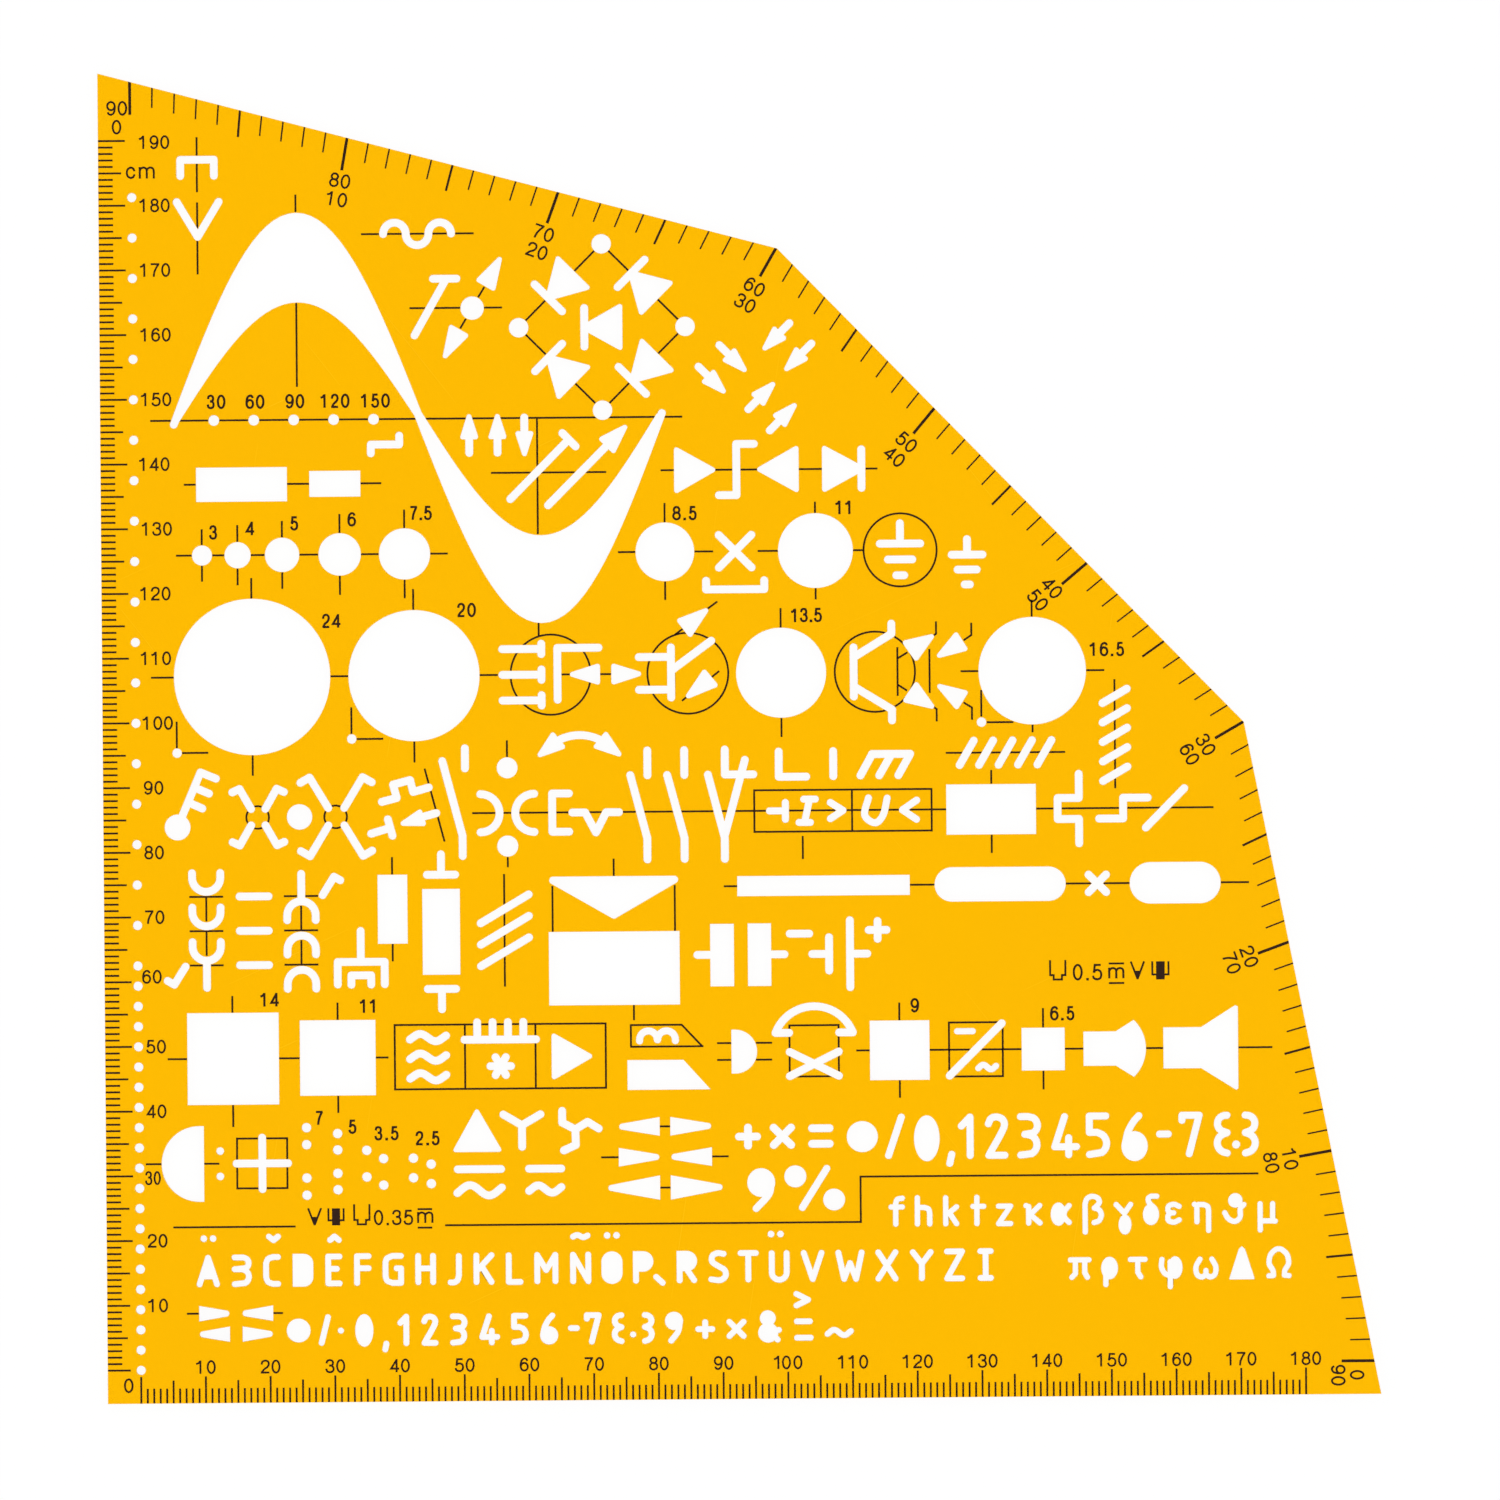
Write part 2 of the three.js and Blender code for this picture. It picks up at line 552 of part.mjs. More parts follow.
const capitals = [
  text([9.13, 13.22], [10.47, 17.3]),
  text([11.82, 13.22], [10.47, 17.3]),
  [[9.55, 13.95], [11.4, 13.95], [10.75, 17], [10.2, 17]],
  text([14.57, 17.35], [16.0, 17.35], ...arc(16.0, 16.43, 0.9, 60, -60), [14.57, 15.5]),
  text([14.57, 15.5], [15.7, 15.5], ...arc(15.62, 14.35, 1.14, 60, -60), [14.57, 13.2]),
  text([21.27, 17.35], [20.3, 17.35], [19.42, 16.6], [19.42, 14.0], [20.3, 13.2], [21.27, 13.2]),
  [
    [23.5, 12.7], [25.5, 12.7], [26.35, 13.1], [26.75, 14.0], [26.75, 16.5], [26.35, 17.4],
    [25.5, 17.85], [23.5, 17.85],
  ],
  text([30.77, 17.35], [29.03, 17.35], [29.03, 13.2], [30.77, 13.2]),
  text([29.3, 15.45], [30.35, 15.45]),
  text([35.27, 17.37], [33.48, 17.37], [33.48, 13.23]),
  text([33.75, 15.5], [35.27, 15.5]),
  text(
    [40.27, 17.37], [38.7, 17.37], [37.88, 16.6], [37.88, 14.0], [38.7, 13.2],
    [40.27, 13.2], [40.27, 15.45], [39.6, 15.45],
  ),
  text([42.93, 13.28], [42.93, 17.33]),
  text([45.23, 13.28], [45.23, 17.33]),
  text([43.2, 15.4], [45.0, 15.4]),
  text([49.22, 17.27], [49.22, 14.1], [48.75, 13.2], [47.93, 13.2]),
  text([51.93, 13.23], [51.93, 17.32]),
  text([54.2, 17.3], [52.3, 15.2], [54.2, 13.25]),
  text([56.93, 17.32], [56.93, 13.2], [58.73, 13.2]),
  text([61.33, 13.28], [61.33, 17.33], [62.72, 15.0], [64.13, 17.33], [64.13, 13.28]),
  text([66.87, 13.23], [66.87, 17.33], [69.22, 13.23], [69.22, 17.33]),
  [
    [71.25, 14.2], [71.8, 13.1], [72.88, 12.72], [73.95, 13.1], [74.5, 14.2],
    [74.5, 16.35], [73.95, 17.45], [72.88, 17.83], [71.8, 17.45], [71.25, 16.35],
  ],
  text([76.58, 13.23], [76.58, 17.0]),
  [[76.1, 14.6], [77.9, 14.6], [78.9, 15.1], [79.3, 16.2], [78.95, 17.3], [77.9, 17.82], [76.1, 17.82]],
  text([79.7, 13.8], [80.7, 12.87]),
  text([83.33, 13.23], [83.33, 17.0]),
  text([84.2, 15.3], [85.57, 13.25]),
  [
    [82.85, 14.6], [84.6, 14.6], [85.65, 15.1], [86.05, 16.2], [85.7, 17.3], [84.6, 17.82],
    [82.85, 17.82],
  ],
  text(
    [90.15, 17.28], [89.2, 17.4], [88.25, 16.8], [88.45, 15.85], [90.1, 14.85],
    [90.5, 13.9], [89.6, 13.2], [88.22, 13.35],
  ),
  text([92.78, 17.37], [95.13, 17.37]),
  text([93.95, 13.28], [93.95, 17.07]),
  text(
    [97.58, 17.32], [97.58, 14.2], [98.1, 13.35], [98.73, 13.2], [99.36, 13.35],
    [99.88, 14.2], [99.88, 17.32],
  ),
  text([102.53, 17.32], [103.9, 13.28], [105.28, 17.32]),
  text([107.88, 17.32], [108.75, 13.25], [109.67, 15.7], [110.6, 13.25], [111.48, 17.32]),
  text([114.05, 13.25], [116.7, 17.32]),
  text([114.05, 17.32], [116.7, 13.25]),
  text([119.4, 17.3], [120.77, 15.5], [122.15, 17.3]),
  text([120.77, 13.28], [120.77, 15.3]),
  text([124.68, 17.37], [127.0, 17.37], [124.68, 13.2], [127.0, 13.2]),
  text([129.83, 17.37], [131.43, 17.37]),
  text([129.83, 13.23], [131.43, 13.23]),
  text([130.63, 13.53], [130.63, 17.07]),
];

const accents = [
  ...[9.83, 11.27, 72.17, 73.62, 97.5, 98.96].map((x) => disc(x, 20.27, 1.08)),
  text([19.9, 20.5], [20.6, 19.95], [21.3, 20.5]),
  text([29.35, 19.9], [30.03, 20.45], [30.7, 19.9]),
  tilde(68.02, 20.2, 2.3, 0.2, text),
];

const cutOuts = [
  ...scaleHoles,
  ...topSymbols,
  ...bridge,
  ...arrows,
  ...sineWindow,
  ...upperSymbols,
  ...circles,
  ...grounds,
  ...transistors,
  ...slants,
  ...antennas,
  ...middleSymbols,
  ...relaySigns,
  ...coils,
  ...lowerSymbols,
  ...buildingSymbols,
  ...plugSymbols,
  ...capitals,
  ...accents,
];

// The print on the top face, in square-ended lines. Each is broken where it meets a cut-out.

const printed = (...points) => stroke(lineWidth, points, 1);
const level = (x0, x1, y) => printed([x0, y], [x1, y]);
const plumb = (x, y0, y1) => printed([x, y0], [x, y1]);
const hollow = (outline, opening) => Object.assign(outline, { opening });
const frame = (x0, y0, x1, y1, half = lineWidth / 2) =>
  hollow(box(x0 - half, y0 - half, x1 + half, y1 + half), box(x0 + half, y0 + half, x1 - half, y1 - half));
const ring = (x, y, radius) =>
  hollow(disc(x, y, 2 * radius + lineWidth), disc(x, y, 2 * radius - lineWidth));

const marks = {
  aerial_line: [plumb(10.1, 169.3, 180.4)],
  sine_height_line: [plumb(25.3, sineBase + 5.1, sineBase + sineHigh + 3.4)],
  sine_base_line: [level(2.6, sineStart + sineLength + 3.1, sineBase)],
  sine_depth_line: [plumb(62.35, sineBase - sineHigh - 2.3, sineBase)],
  bridge_line: [
    printed([72.49, 173.52], [59.63, 160.66]),
    printed([59.63, 160.66], [72.49, 147.81]),
    printed([72.49, 147.81], [85.35, 160.66]),
    printed([85.35, 160.66], [72.49, 173.52]),
  ],
  trigger_line: [level(55.2, 73, 138.25)],
  earth_ring: [ring(118.3, 125.85, 5.65)],
  mosfet_ring: [ring(64.15, 107, 6.2)],
  transistor_ring: [ring(85.35, 107.05, 6.25)],
  phototransistor_ring: [ring(114.25, 107.05, 6.2), plumb(117.75, 103.3, 110.8)],
  lens_line: [plumb(122.7, 103.7, 110.5)],
  relay_frame: [frame(95.45, 82.45, 122.85, 88.87), plumb(110.55, 82.45, 88.87)],
  signal_line: [
    level(51.85, 95.45 - lineWidth / 2, 85.68),
    level(122.85 + lineWidth / 2, 166.4, 85.68),
  ],
  motor_line: [plumb(64.15, 67.25, 74.35), plumb(83.05, 67.25, 74.35)],
  phase_line: [plumb(56.7, 58.85, 76.25)],
  cross_frame: [frame(15.1, 28, 22.85, 35.7)],
  filter_frame: [frame(39.6, 43.1, 72.2, 53.05), plumb(50.45, 43.1, 53.05), plumb(61.35, 43.1, 53.05)],
  telephone_frame: [frame(100.6, 44.6, 108.2, 52.5)],
  rectifier_frame: [frame(125.25, 44.4, 133.55, 52.75)],
  horn_line: [level(110.9, 175.2, 48.55)],
  top_text_line: [level(5.15, 24.05, 22.05)],
  greek_border: [printed([47.15, 22.05], [111.4, 22.05], [111.4, 29.05], [172.9, 29.05])],
};

// Solids.

const { Manifold } = wasm;

function solid(outline, floor, height) {
  const vectors = (points) => points.map(([x, y]) => new THREE.Vector2(x, y));
  const shape = new THREE.Shape(vectors(outline));
  if (outline.opening) shape.holes.push(new THREE.Path(vectors(outline.opening)));
  const extruded = new THREE.ExtrudeGeometry(shape, { depth: height, bevelEnabled: false });
  extruded.deleteAttribute("normal");
  extruded.deleteAttribute("uv");
  const merged = mergeVertices(extruded, 1e-4);
  merged.translate(0, 0, floor);
  return new Manifold({
    numProp: 3,
    vertProperties: new Float32Array(merged.attributes.position.array),
    triVerts: new Uint32Array(merged.index.array),
  });
}

const joined = (outlines, floor, height) =>
  Manifold.union(outlines.map((outline) => solid(outline, floor, height)));

const corners = [
  [-edgeMargin, -edgeMargin],
  [bottomEdgeEnd, -edgeMargin],
  polar(ray30, 30),
  polar(ray60, 60),
  [-edgeMargin, leftEdgeEnd],
];
const blank = solid(corners, 0, sheetThickness);
const cutters = joined(cutOuts, -1, sheetThickness + 2);
const sheet = blank.subtract(cutters);

// One layer of ink inside the sheet's outline.
const inkOver = solid(corners, sheetThickness, inkThickness);
const inkLayer = (outlines) => joined(outlines, sheetThickness, inkThickness).intersect(inkOver);

// A scale of straight graduations from a start to an end along an edge.
const graduation = (k) => (k % 10 === 0 ? tenTick : k % 5 === 0 ? fiveTick : unitTick);
const bottomScale = inkLayer([
  ...times(bottomScaleEnd + 1, (k) => [plumb(k, -edgeMargin, -edgeMargin + graduation(k))]),
  box(-lineWidth / 2, -edgeMargin, bottomScaleEnd + lineWidth / 2, -edgeMargin + edgeLine),
]);
const leftScale = inkLayer([
  ...times(leftScaleEnd + 1, (k) => [level(-edgeMargin, -edgeMargin + graduation(k), k)]),
  box(-edgeMargin, -lineWidth / 2, -edgeMargin + edgeLine, leftScaleEnd + lineWidth / 2),
]);

// How far a ray from the angle scale's middle runs to the sheet's edge between two of its corners.
function edgeDistance(degrees, start, end) {
  const [[ax, ay], [bx, by]] = [start, end].map(([x, y]) => [x - angleMiddle[0], y - angleMiddle[1]]);
  const [cos, sin] = polar(1, degrees);
  return (ax * by - ay * bx) / (cos * (by - ay) - sin * (bx - ax));
}

// The degrees from one to another along the slanted edge between two corners.
function angleScale(from, to, start, end) {
  const atEdge = (degrees, inward) => {
    const [x, y] = polar(edgeDistance(degrees, start, end) - inward, degrees);
    return [angleMiddle[0] + x, angleMiddle[1] + y];
  };
  const ticks = Array.from({ length: to - from + 1 }, (_, i) => {
    const degrees = from + i;
    const [length, width] =
      degrees % 10 === 0
        ? [tenDegreeTick, tenDegreeWidth]
        : degrees % 5 === 0
          ? [fiveDegreeTick, fiveDegreeWidth]
          : [degreeTick, degreeWidth];
    return stroke(width, [atEdge(degrees, -1), atEdge(degrees, length)], 1);
  });
  return inkLayer([...ticks, stroke(2 * edgeLine, [atEdge(from, 0), atEdge(to, 0)], 1)]);
}

const longSide = (body) => {
  const { min, max } = body.boundingBox();
  return Math.hypot(max[0] - min[0], max[1] - min[1]);
};

// The pieces that the cut-outs leave of a mark, longest first, without the short ones.
function printedPieces(outlines) {
  return inkLayer(outlines)
    .subtract(cutters)
    .decompose()
    .filter((piece) => longSide(piece) >= shortestPrintedSolid)
    .sort((a, b) => longSide(b) - longSide(a));
}

// The object.

const plastic = { color: [251, 185, 1], roughness: 0.25 };
const ink = { color: [38, 22, 12], roughness: 0.6 };

const middleX = (bottomEdgeEnd - edgeMargin) / 2;
const middleY = (leftEdgeEnd - edgeMargin) / 2;

const template = new THREE.Group();
template.name = "electrical_symbol_template";

function add(name, body, { color: [r, g, b], roughness }) {
  const { vertProperties, triVerts } = body.translate([-middleX, -middleY, 0]).getMesh();
  const geometry = new THREE.BufferGeometry();
  geometry.setAttribute("position", new THREE.BufferAttribute(vertProperties, 3));
  geometry.setIndex(new THREE.BufferAttribute(triVerts, 1));
  const color = new THREE.Color().setRGB(r / 255, g / 255, b / 255, THREE.SRGBColorSpace);
  const material = new THREE.MeshStandardMaterial({ color, roughness });
  material.flatShading = true;
  const mesh = new THREE.Mesh(geometry, material);
  mesh.name = name;
  template.add(mesh);
}

add("template_sheet", sheet, plastic);
add("bottom_scale", bottomScale, ink);
add("left_scale", leftScale, ink);
add("lower_angle_scale", angleScale(0, 29, corners[1], corners[2]), ink);
add("middle_angle_scale", angleScale(30, 60, corners[2], corners[3]), ink);
add("upper_angle_scale", angleScale(61, 90, corners[3], corners[4]), ink);
for (const [name, outlines] of Object.entries(marks)) {
  printedPieces(outlines).forEach((piece, i) => add(i ? `${name}_${i + 1}` : name, piece, ink));
}

export default template;
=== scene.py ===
import bpy
import numpy as np
from mathutils.geometry import delaunay_2d_cdt
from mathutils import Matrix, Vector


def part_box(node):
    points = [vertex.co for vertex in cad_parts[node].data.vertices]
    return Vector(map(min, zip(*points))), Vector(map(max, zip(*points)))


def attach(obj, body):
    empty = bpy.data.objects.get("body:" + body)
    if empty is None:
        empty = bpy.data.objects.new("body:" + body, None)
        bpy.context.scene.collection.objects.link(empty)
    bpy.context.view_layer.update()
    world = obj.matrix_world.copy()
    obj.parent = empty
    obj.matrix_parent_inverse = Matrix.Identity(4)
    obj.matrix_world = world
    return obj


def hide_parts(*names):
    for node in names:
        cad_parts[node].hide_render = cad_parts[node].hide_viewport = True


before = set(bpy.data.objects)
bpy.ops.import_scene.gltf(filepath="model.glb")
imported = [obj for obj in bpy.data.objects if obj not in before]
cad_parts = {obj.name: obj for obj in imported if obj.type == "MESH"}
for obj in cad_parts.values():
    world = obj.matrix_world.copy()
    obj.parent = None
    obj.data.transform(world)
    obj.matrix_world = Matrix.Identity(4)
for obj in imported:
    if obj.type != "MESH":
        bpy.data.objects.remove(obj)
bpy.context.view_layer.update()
millimetre = 0.001

sheetValues = {
    "edgeMargin": 5.17,  # from the zero of the scales out to the left and bottom edges
    "bottomEdgeEnd": 191.63,
    "leftEdgeEnd": 200.46,
    "corner30": 197.7,  # distance from the zero to the corner on the 30 degree ray
    "corner60": 199.3,
    "rimRadius": 0.1,  # the rounding along every edge of the sheet
    "rimSteps": 2,
    "inset": 0.03,  # taken off each side of the cut-outs, which a bright ground makes look wider
    "sagitta": 0.008,  # how far a flat may lie inside its true arc
    "sharpAngle": 40,  # bends over this many degrees stay crisp
    "strokeBend": 24,  # bends over this many degrees part a stroke in two
    "doubled": 0.02,  # points closer than this are one
}
sheetLow, sheetHigh = (np.array(corner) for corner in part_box("template_sheet"))
scaleZero = sheetLow[:2] + sheetValues["edgeMargin"] * millimetre
print("frame loaded:", len(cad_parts), "nodes")

# The camera looks straight down from far off, so that the walls of the cut-outs hide behind their rims.
cameraValues = {
    "distance": 3.0,
    "frameWidth": 0.23179,
    "middle": (94.86, 95.11),
    "turn": 0.4637,  # degrees that the sheet is turned counter-clockwise in the picture
    "sensor": 36.0,
    "nearest": 0.1,
}


# A place on the sheet as a point of the frame, at a height in metres over the sheet's top face.
def inFrame(x, y, height=0.0):
    return (scaleZero[0] + x * millimetre, scaleZero[1] + y * millimetre, sheetHigh[2] + height)


# The focal length that shows the frame's width from the given distance: sensor * distance / width.
def addCamera(values):
    camera = bpy.data.cameras.new("camera")
    camera.sensor_width = values["sensor"]
    camera.lens = values["sensor"] * values["distance"] / values["frameWidth"]
    camera.clip_start = values["nearest"]
    camera.clip_end = 2 * values["distance"]
    cameraObject = bpy.data.objects.new("camera", camera)
    bpy.context.scene.collection.objects.link(cameraObject)
    cameraObject.location = inFrame(*values["middle"], values["distance"])
    cameraObject.rotation_euler = (0, 0, -np.radians(values["turn"]))
    bpy.context.scene.camera = cameraObject


addCamera(cameraValues)

# Outlines, each an array of points that runs counter-clockwise.


# A direction's unit vector, cosine and sine of the angle in degrees.
def heading(degrees):
    turn = np.radians(np.asarray(degrees, float))
    return np.stack([np.cos(turn), np.sin(turn)], axis=-1)


# The degrees that one flat of an arc may turn through: a chord's sagitta is radius (1 - cos(half the turn)).
def flatAngle(radius):
    return 2 * np.degrees(np.arccos(1 - min(0.3, sheetValues["sagitta"] / radius)))


# Points of a circular arc, centre + radius * heading(angle), for angles from start to end.
def arc(x, y, radius, start, end):
    flats = max(2, int(np.ceil(abs(end - start) / flatAngle(radius))))
    return np.array([x, y]) + radius * heading(np.linspace(start, end, flats + 1))


# A path's points in one array: each given piece is a point or an array of points. Doubled points go.
def joinPath(*pieces):
    path = np.vstack([np.atleast_2d(np.asarray(piece, float)) for piece in pieces])
    apart = np.hypot(*np.diff(path, axis=0).T) > sheetValues["doubled"]
    return path[np.concatenate([[True], apart])]


# A smooth curve through points: on each span the cubic whose end slopes are half the neighbours' difference.
def bend(*points, steps=5):
    p = joinPath(*points)
    padded = np.vstack([2 * p[0] - p[1], p, 2 * p[-1] - p[-2]])
    before, start, end, after = (padded[i : len(p) - 1 + i, None] for i in range(4))
    t = (np.arange(steps) / steps)[None, :, None]
    slopeIn, slopeOut = (end - before) / 2, (after - start) / 2
    curve = (
        start * (2 * t**3 - 3 * t**2 + 1)
        + slopeIn * (t**3 - 2 * t**2 + t)
        + end * (3 * t**2 - 2 * t**3)
        + slopeOut * (t**3 - t**2)
    )
    return np.vstack([curve.reshape(-1, 2), p[-1:]])


# The end of a stroke: the tangent points half a turn apart, and between them the points of a grid of whole
# angles round the centre, so that two strokes that end on one point have the same round end.
def roundEnd(centre, half, start):
    grid = 360 / max(8, 4 * int(np.ceil(90 / flatAngle(half))))
    between = np.arange(np.ceil((start + 0.5) / grid), np.floor((start + 179.5) / grid) + 1) * grid
    return centre + half * heading(between)


# The outline of a stroke along a gently bending path: the path shifted by half the width to its right, the
# far end's half circle, the path shifted to its left, and the near end's half circle.
def ribbon(path, half):
    runs = np.diff(path, axis=0)
    runs /= np.hypot(*runs.T)[:, None]
    normals = np.stack([-runs[:, 1], runs[:, 0]], axis=1)
    first, last = normals[:1], normals[-1:]
    inner = normals[:-1] + normals[1:]
    inner /= 1 + np.sum(normals[:-1] * normals[1:], axis=1)[:, None]
    shift = half * np.vstack([first, inner, last])
    turn = np.degrees(np.arctan2(runs[:, 1], runs[:, 0]))
    farEnd = roundEnd(path[-1], half, turn[-1] - 90)
    nearEnd = roundEnd(path[0], half, turn[0] + 90)
    return np.vstack([path - shift, farEnd, (path + shift)[::-1], nearEnd])


# A stroke is one ribbon for each stretch between two sharp bends, so that the outside of a bend is round.
def stroke(width, *points):
    path = joinPath(*points)
    runs = np.diff(path, axis=0)
    turn = np.degrees(np.arctan2(runs[:, 1], runs[:, 0]))
    sharp = np.abs((np.diff(turn) + 180) % 360 - 180) > sheetValues["strokeBend"]
    stops = [0, *(np.flatnonzero(sharp) + 1), len(path) - 1]
    return [ribbon(path[a : b + 1], width / 2) for a, b in zip(stops[:-1], stops[1:])]


# A rectangle by two opposite corners, and an outline by its points or arcs.
def box(x0, y0, x1, y1):
    return [np.array([(x0, y0), (x1, y0), (x1, y1), (x0, y1)], float)]


def polygon(*points):
    return [joinPath(*points)]


# An ellipse, centre + (half width * cosine, half height * sine).
def oval(x, y, width, height):
    flats = max(12, int(np.ceil(360 / flatAngle(max(width, height) / 2))))
    return [np.array([x, y]) + heading(np.arange(flats) * 360 / flats) * (width / 2, height / 2)]


def disc(x, y, diameter):
    return oval(x, y, diameter, diameter)


# A convex outline with round corners of one radius about the given centres, which run counter-clockwise.
def rounded(radius, *centres):
    c = np.array(centres, float)
    runs = np.roll(c, -1, axis=0) - c
    leaving = np.degrees(np.arctan2(runs[:, 1], runs[:, 0])) - 90
    arriving = np.roll(leaving, 1)
    corners = [
        arc(*centre, radius, start, start + (end - start) % 360)
        for centre, start, end in zip(c, arriving, leaving)
    ]
    return [np.vstack(corners)]


# Outlines drawn at the origin, turned by some degrees and moved to a place.
def placed(x, y, degrees, outlines):
    (cos, sin) = heading(degrees)
    return [points @ np.array([[cos, sin], [-sin, cos]]) + (x, y) for points in outlines]


penValues = {
    "slot": 1.25,
    "text": 0.96,  # the 5 mm letters and figures
    "bigText": 1.14,  # the 7 mm figures
    "greek": 0.88,
    "fine": 1.12,  # the small signs in frames
    "headCorner": 0.4,  # corner radius of the arrowheads
    "wedgeTip": 0.5,  # radius of the wedges' narrow ends
    "pricked": 1.5,  # diameter of the pricking holes
    "scaleHole": 1.46,
    "dotPitch": 3.125,  # spacing of the holes down the left scale
}


# A stroke of each pen, and a level and an upright slot. A place is the middle of the pen's tip.
def slot(*points):
    return stroke(penValues["slot"], *points)


def text(*points):
    return stroke(penValues["text"], *points)


def bigText(*points):
    return stroke(penValues["bigText"], *points)


def greek(*points):
    return stroke(penValues["greek"], *points)


def fine(*points):
    return stroke(penValues["fine"], *points)


def across(x0, x1, y):
    return slot((x0, y), (x1, y))


def upright(x, y0, y1):
    return slot((x, y0), (x, y1))


# A triangle by the middles of its round corners.
def arrowhead(*centres):
    return rounded(penValues["headCorner"], *centres)


# A bar with the tip of a triangle on it.
def diode(x, y, degrees, length=5.5):
    triangle = arrowhead((-0.15, 0), (length, -3.17), (length, 3.17))
    return placed(x, y, degrees, [*slot((0, -2.98), (0, 2.98)), *triangle])


# An arrow from the middle of its round tail.
def arrow(x, y, degrees, length, head=3.13, half=1.0):
    tip = arrowhead((length - head, -half), (length, 0), (length - head, half))
    return placed(x, y, degrees, [*slot((0, 0), (length - 2.6, 0)), *tip])


# A plus sign, or a multiplication sign when turned.
def plus(x, y, reach, degrees, pen):
    return placed(x, y, degrees, [*pen((-reach, 0), (reach, 0)), *pen((0, -reach), (0, reach))])


# Three bars under a stem, each a pitch below the last, given by half their lengths.
def ground(x, y, pitch, halves, stem):
    bars = [across(x - half, x + half, y - k * pitch) for k, half in enumerate(halves)]
    return sum(bars, upright(x, y + 0.3, stem))


# A tapered cut-out from a flat wide end to a round narrow one.
def wedge(wide, narrow, y, half):
    radius = penValues["wedgeTip"]
    toWide = 1 if wide > narrow else -1
    start = 90 if toWide > 0 else -90
    tip = arc(narrow + radius * toWide, y, radius, start, start + 180)
    ends = [(wide, y - half), (wide, y + half)]
    return polygon(*(ends if toWide > 0 else ends[::-1]), tip)


# One wave in a slot: height = -rise * sine, over a little more than one wavelength.
def tilde(x, y, width, rise, pen):
    turn = np.linspace(-210, 210, 21)
    return pen(np.stack([x + width * turn / 420, y - 1.04 * rise * np.sin(np.radians(turn))], axis=1))


# The symbols' cut-outs, from the top of the sheet down. Each entry is a list of outlines. Down the left scale
# the pricking holes stand at every pitch, and in the upper part at every second one.
pitch = penValues["dotPitch"]
scaleHoles = [
    *[disc(0, k * pitch, penValues["scaleHole"]) for k in range(21)],
    *[disc(0, (22 + 2 * k) * pitch, penValues["scaleHole"]) for k in range(19)],
]

topSymbols = [
    slot((7.53, 184.53), (7.53, 187.02), (12.72, 187.02), (12.72, 184.53)),
    slot((6.93, 180.5), (10.15, 175.1), (13.42, 180.5)),
    slot(arc(40.55, 175.3, 1.75, 180, 0), arc(44.05, 175.3, 1.75, 180, 360), arc(47.55, 175.3, 1.75, 180, 0)),
    across(46.45, 50.08, 168.33),
    slot((48.33, 168.05), (43.53, 159.6)),
    disc(52.47, 163.75, 3.65),
    arrowhead((53.55, 168.1), (55.75, 166.8), (56.75, 171.25)),
    arrowhead((49.2, 160.8), (48.25, 156.4), (51.45, 159.5)),
]

bridge = [
    disc(72.49, 173.52, 3.05),
    disc(59.63, 160.66, 3.05),
    disc(85.35, 160.66, 3.05),
    disc(72.49, 147.81, 3.05),
    diode(69.78, 160.65, 0),
    diode(64.25, 165.25, 45, 5.35),
    diode(77.08, 168.92, -45, 5.35),
    diode(64.23, 156.02, -45, 5.35),
    diode(77.13, 152.38, 45, 5.35),
]

arrows = [
    arrow(51.85, 141.375, 90, 5.6),
    arrow(56.22, 141.375, 90, 5.6),
    arrow(60.38, 146.775, 270, 5.6),
    arrow(101.475, 161.03, 225, 5.4),
    arrow(104.85, 157.85, 225, 5.45),
    arrow(90.625, 157.725, -45, 5.4),
    arrow(87.375, 154.425, -45, 5.4),
    arrow(95.025, 147.775, 45, 5.4),
    arrow(98.325, 144.475, 45, 5.4),
    arrow(63.95, 133.18, 45, 16.92, 3.8, 1.28),
]

# The big window between two sine curves of one wavelength: height = base + rise * sine. Each has its own
# rise above the base and below it, and its three places on the base. The high one goes on a little at its
# ends.
sineValues = {
    "base": 146.7, "flats": 72, "tip": (0.24, 0.6),
    "high": {"above": 31.4, "below": 31.1, "crossings": (6.45, 44.25, 81.42)},
    "low": {"above": 18.75, "below": 18.75, "crossings": (6.45, 44.45, 81.25)},
}


# One wavelength: x runs evenly between the crossings, y = base + rise * sine of the turn.
def sineCurve(above, below, crossings):
    turn = np.linspace(0, 2 * np.pi, sineValues["flats"] + 1)
    x = np.interp(turn, (0, np.pi, 2 * np.pi), crossings)
    return np.stack([x, sineValues["base"] + np.where(turn < np.pi, above, below) * np.sin(turn)], axis=1)


high, low = sineCurve(**sineValues["high"]), sineCurve(**sineValues["low"])
half, tip = sineValues["flats"] // 2, np.array(sineValues["tip"])
sineWindow = [
    slot(high[0] - tip, high, high[-1] + tip),
    slot(low),
    polygon(low[1 : half + 1], high[half - 1 : 0 : -1]),
    polygon(high[half:-1], low[-2:half:-1]),
]

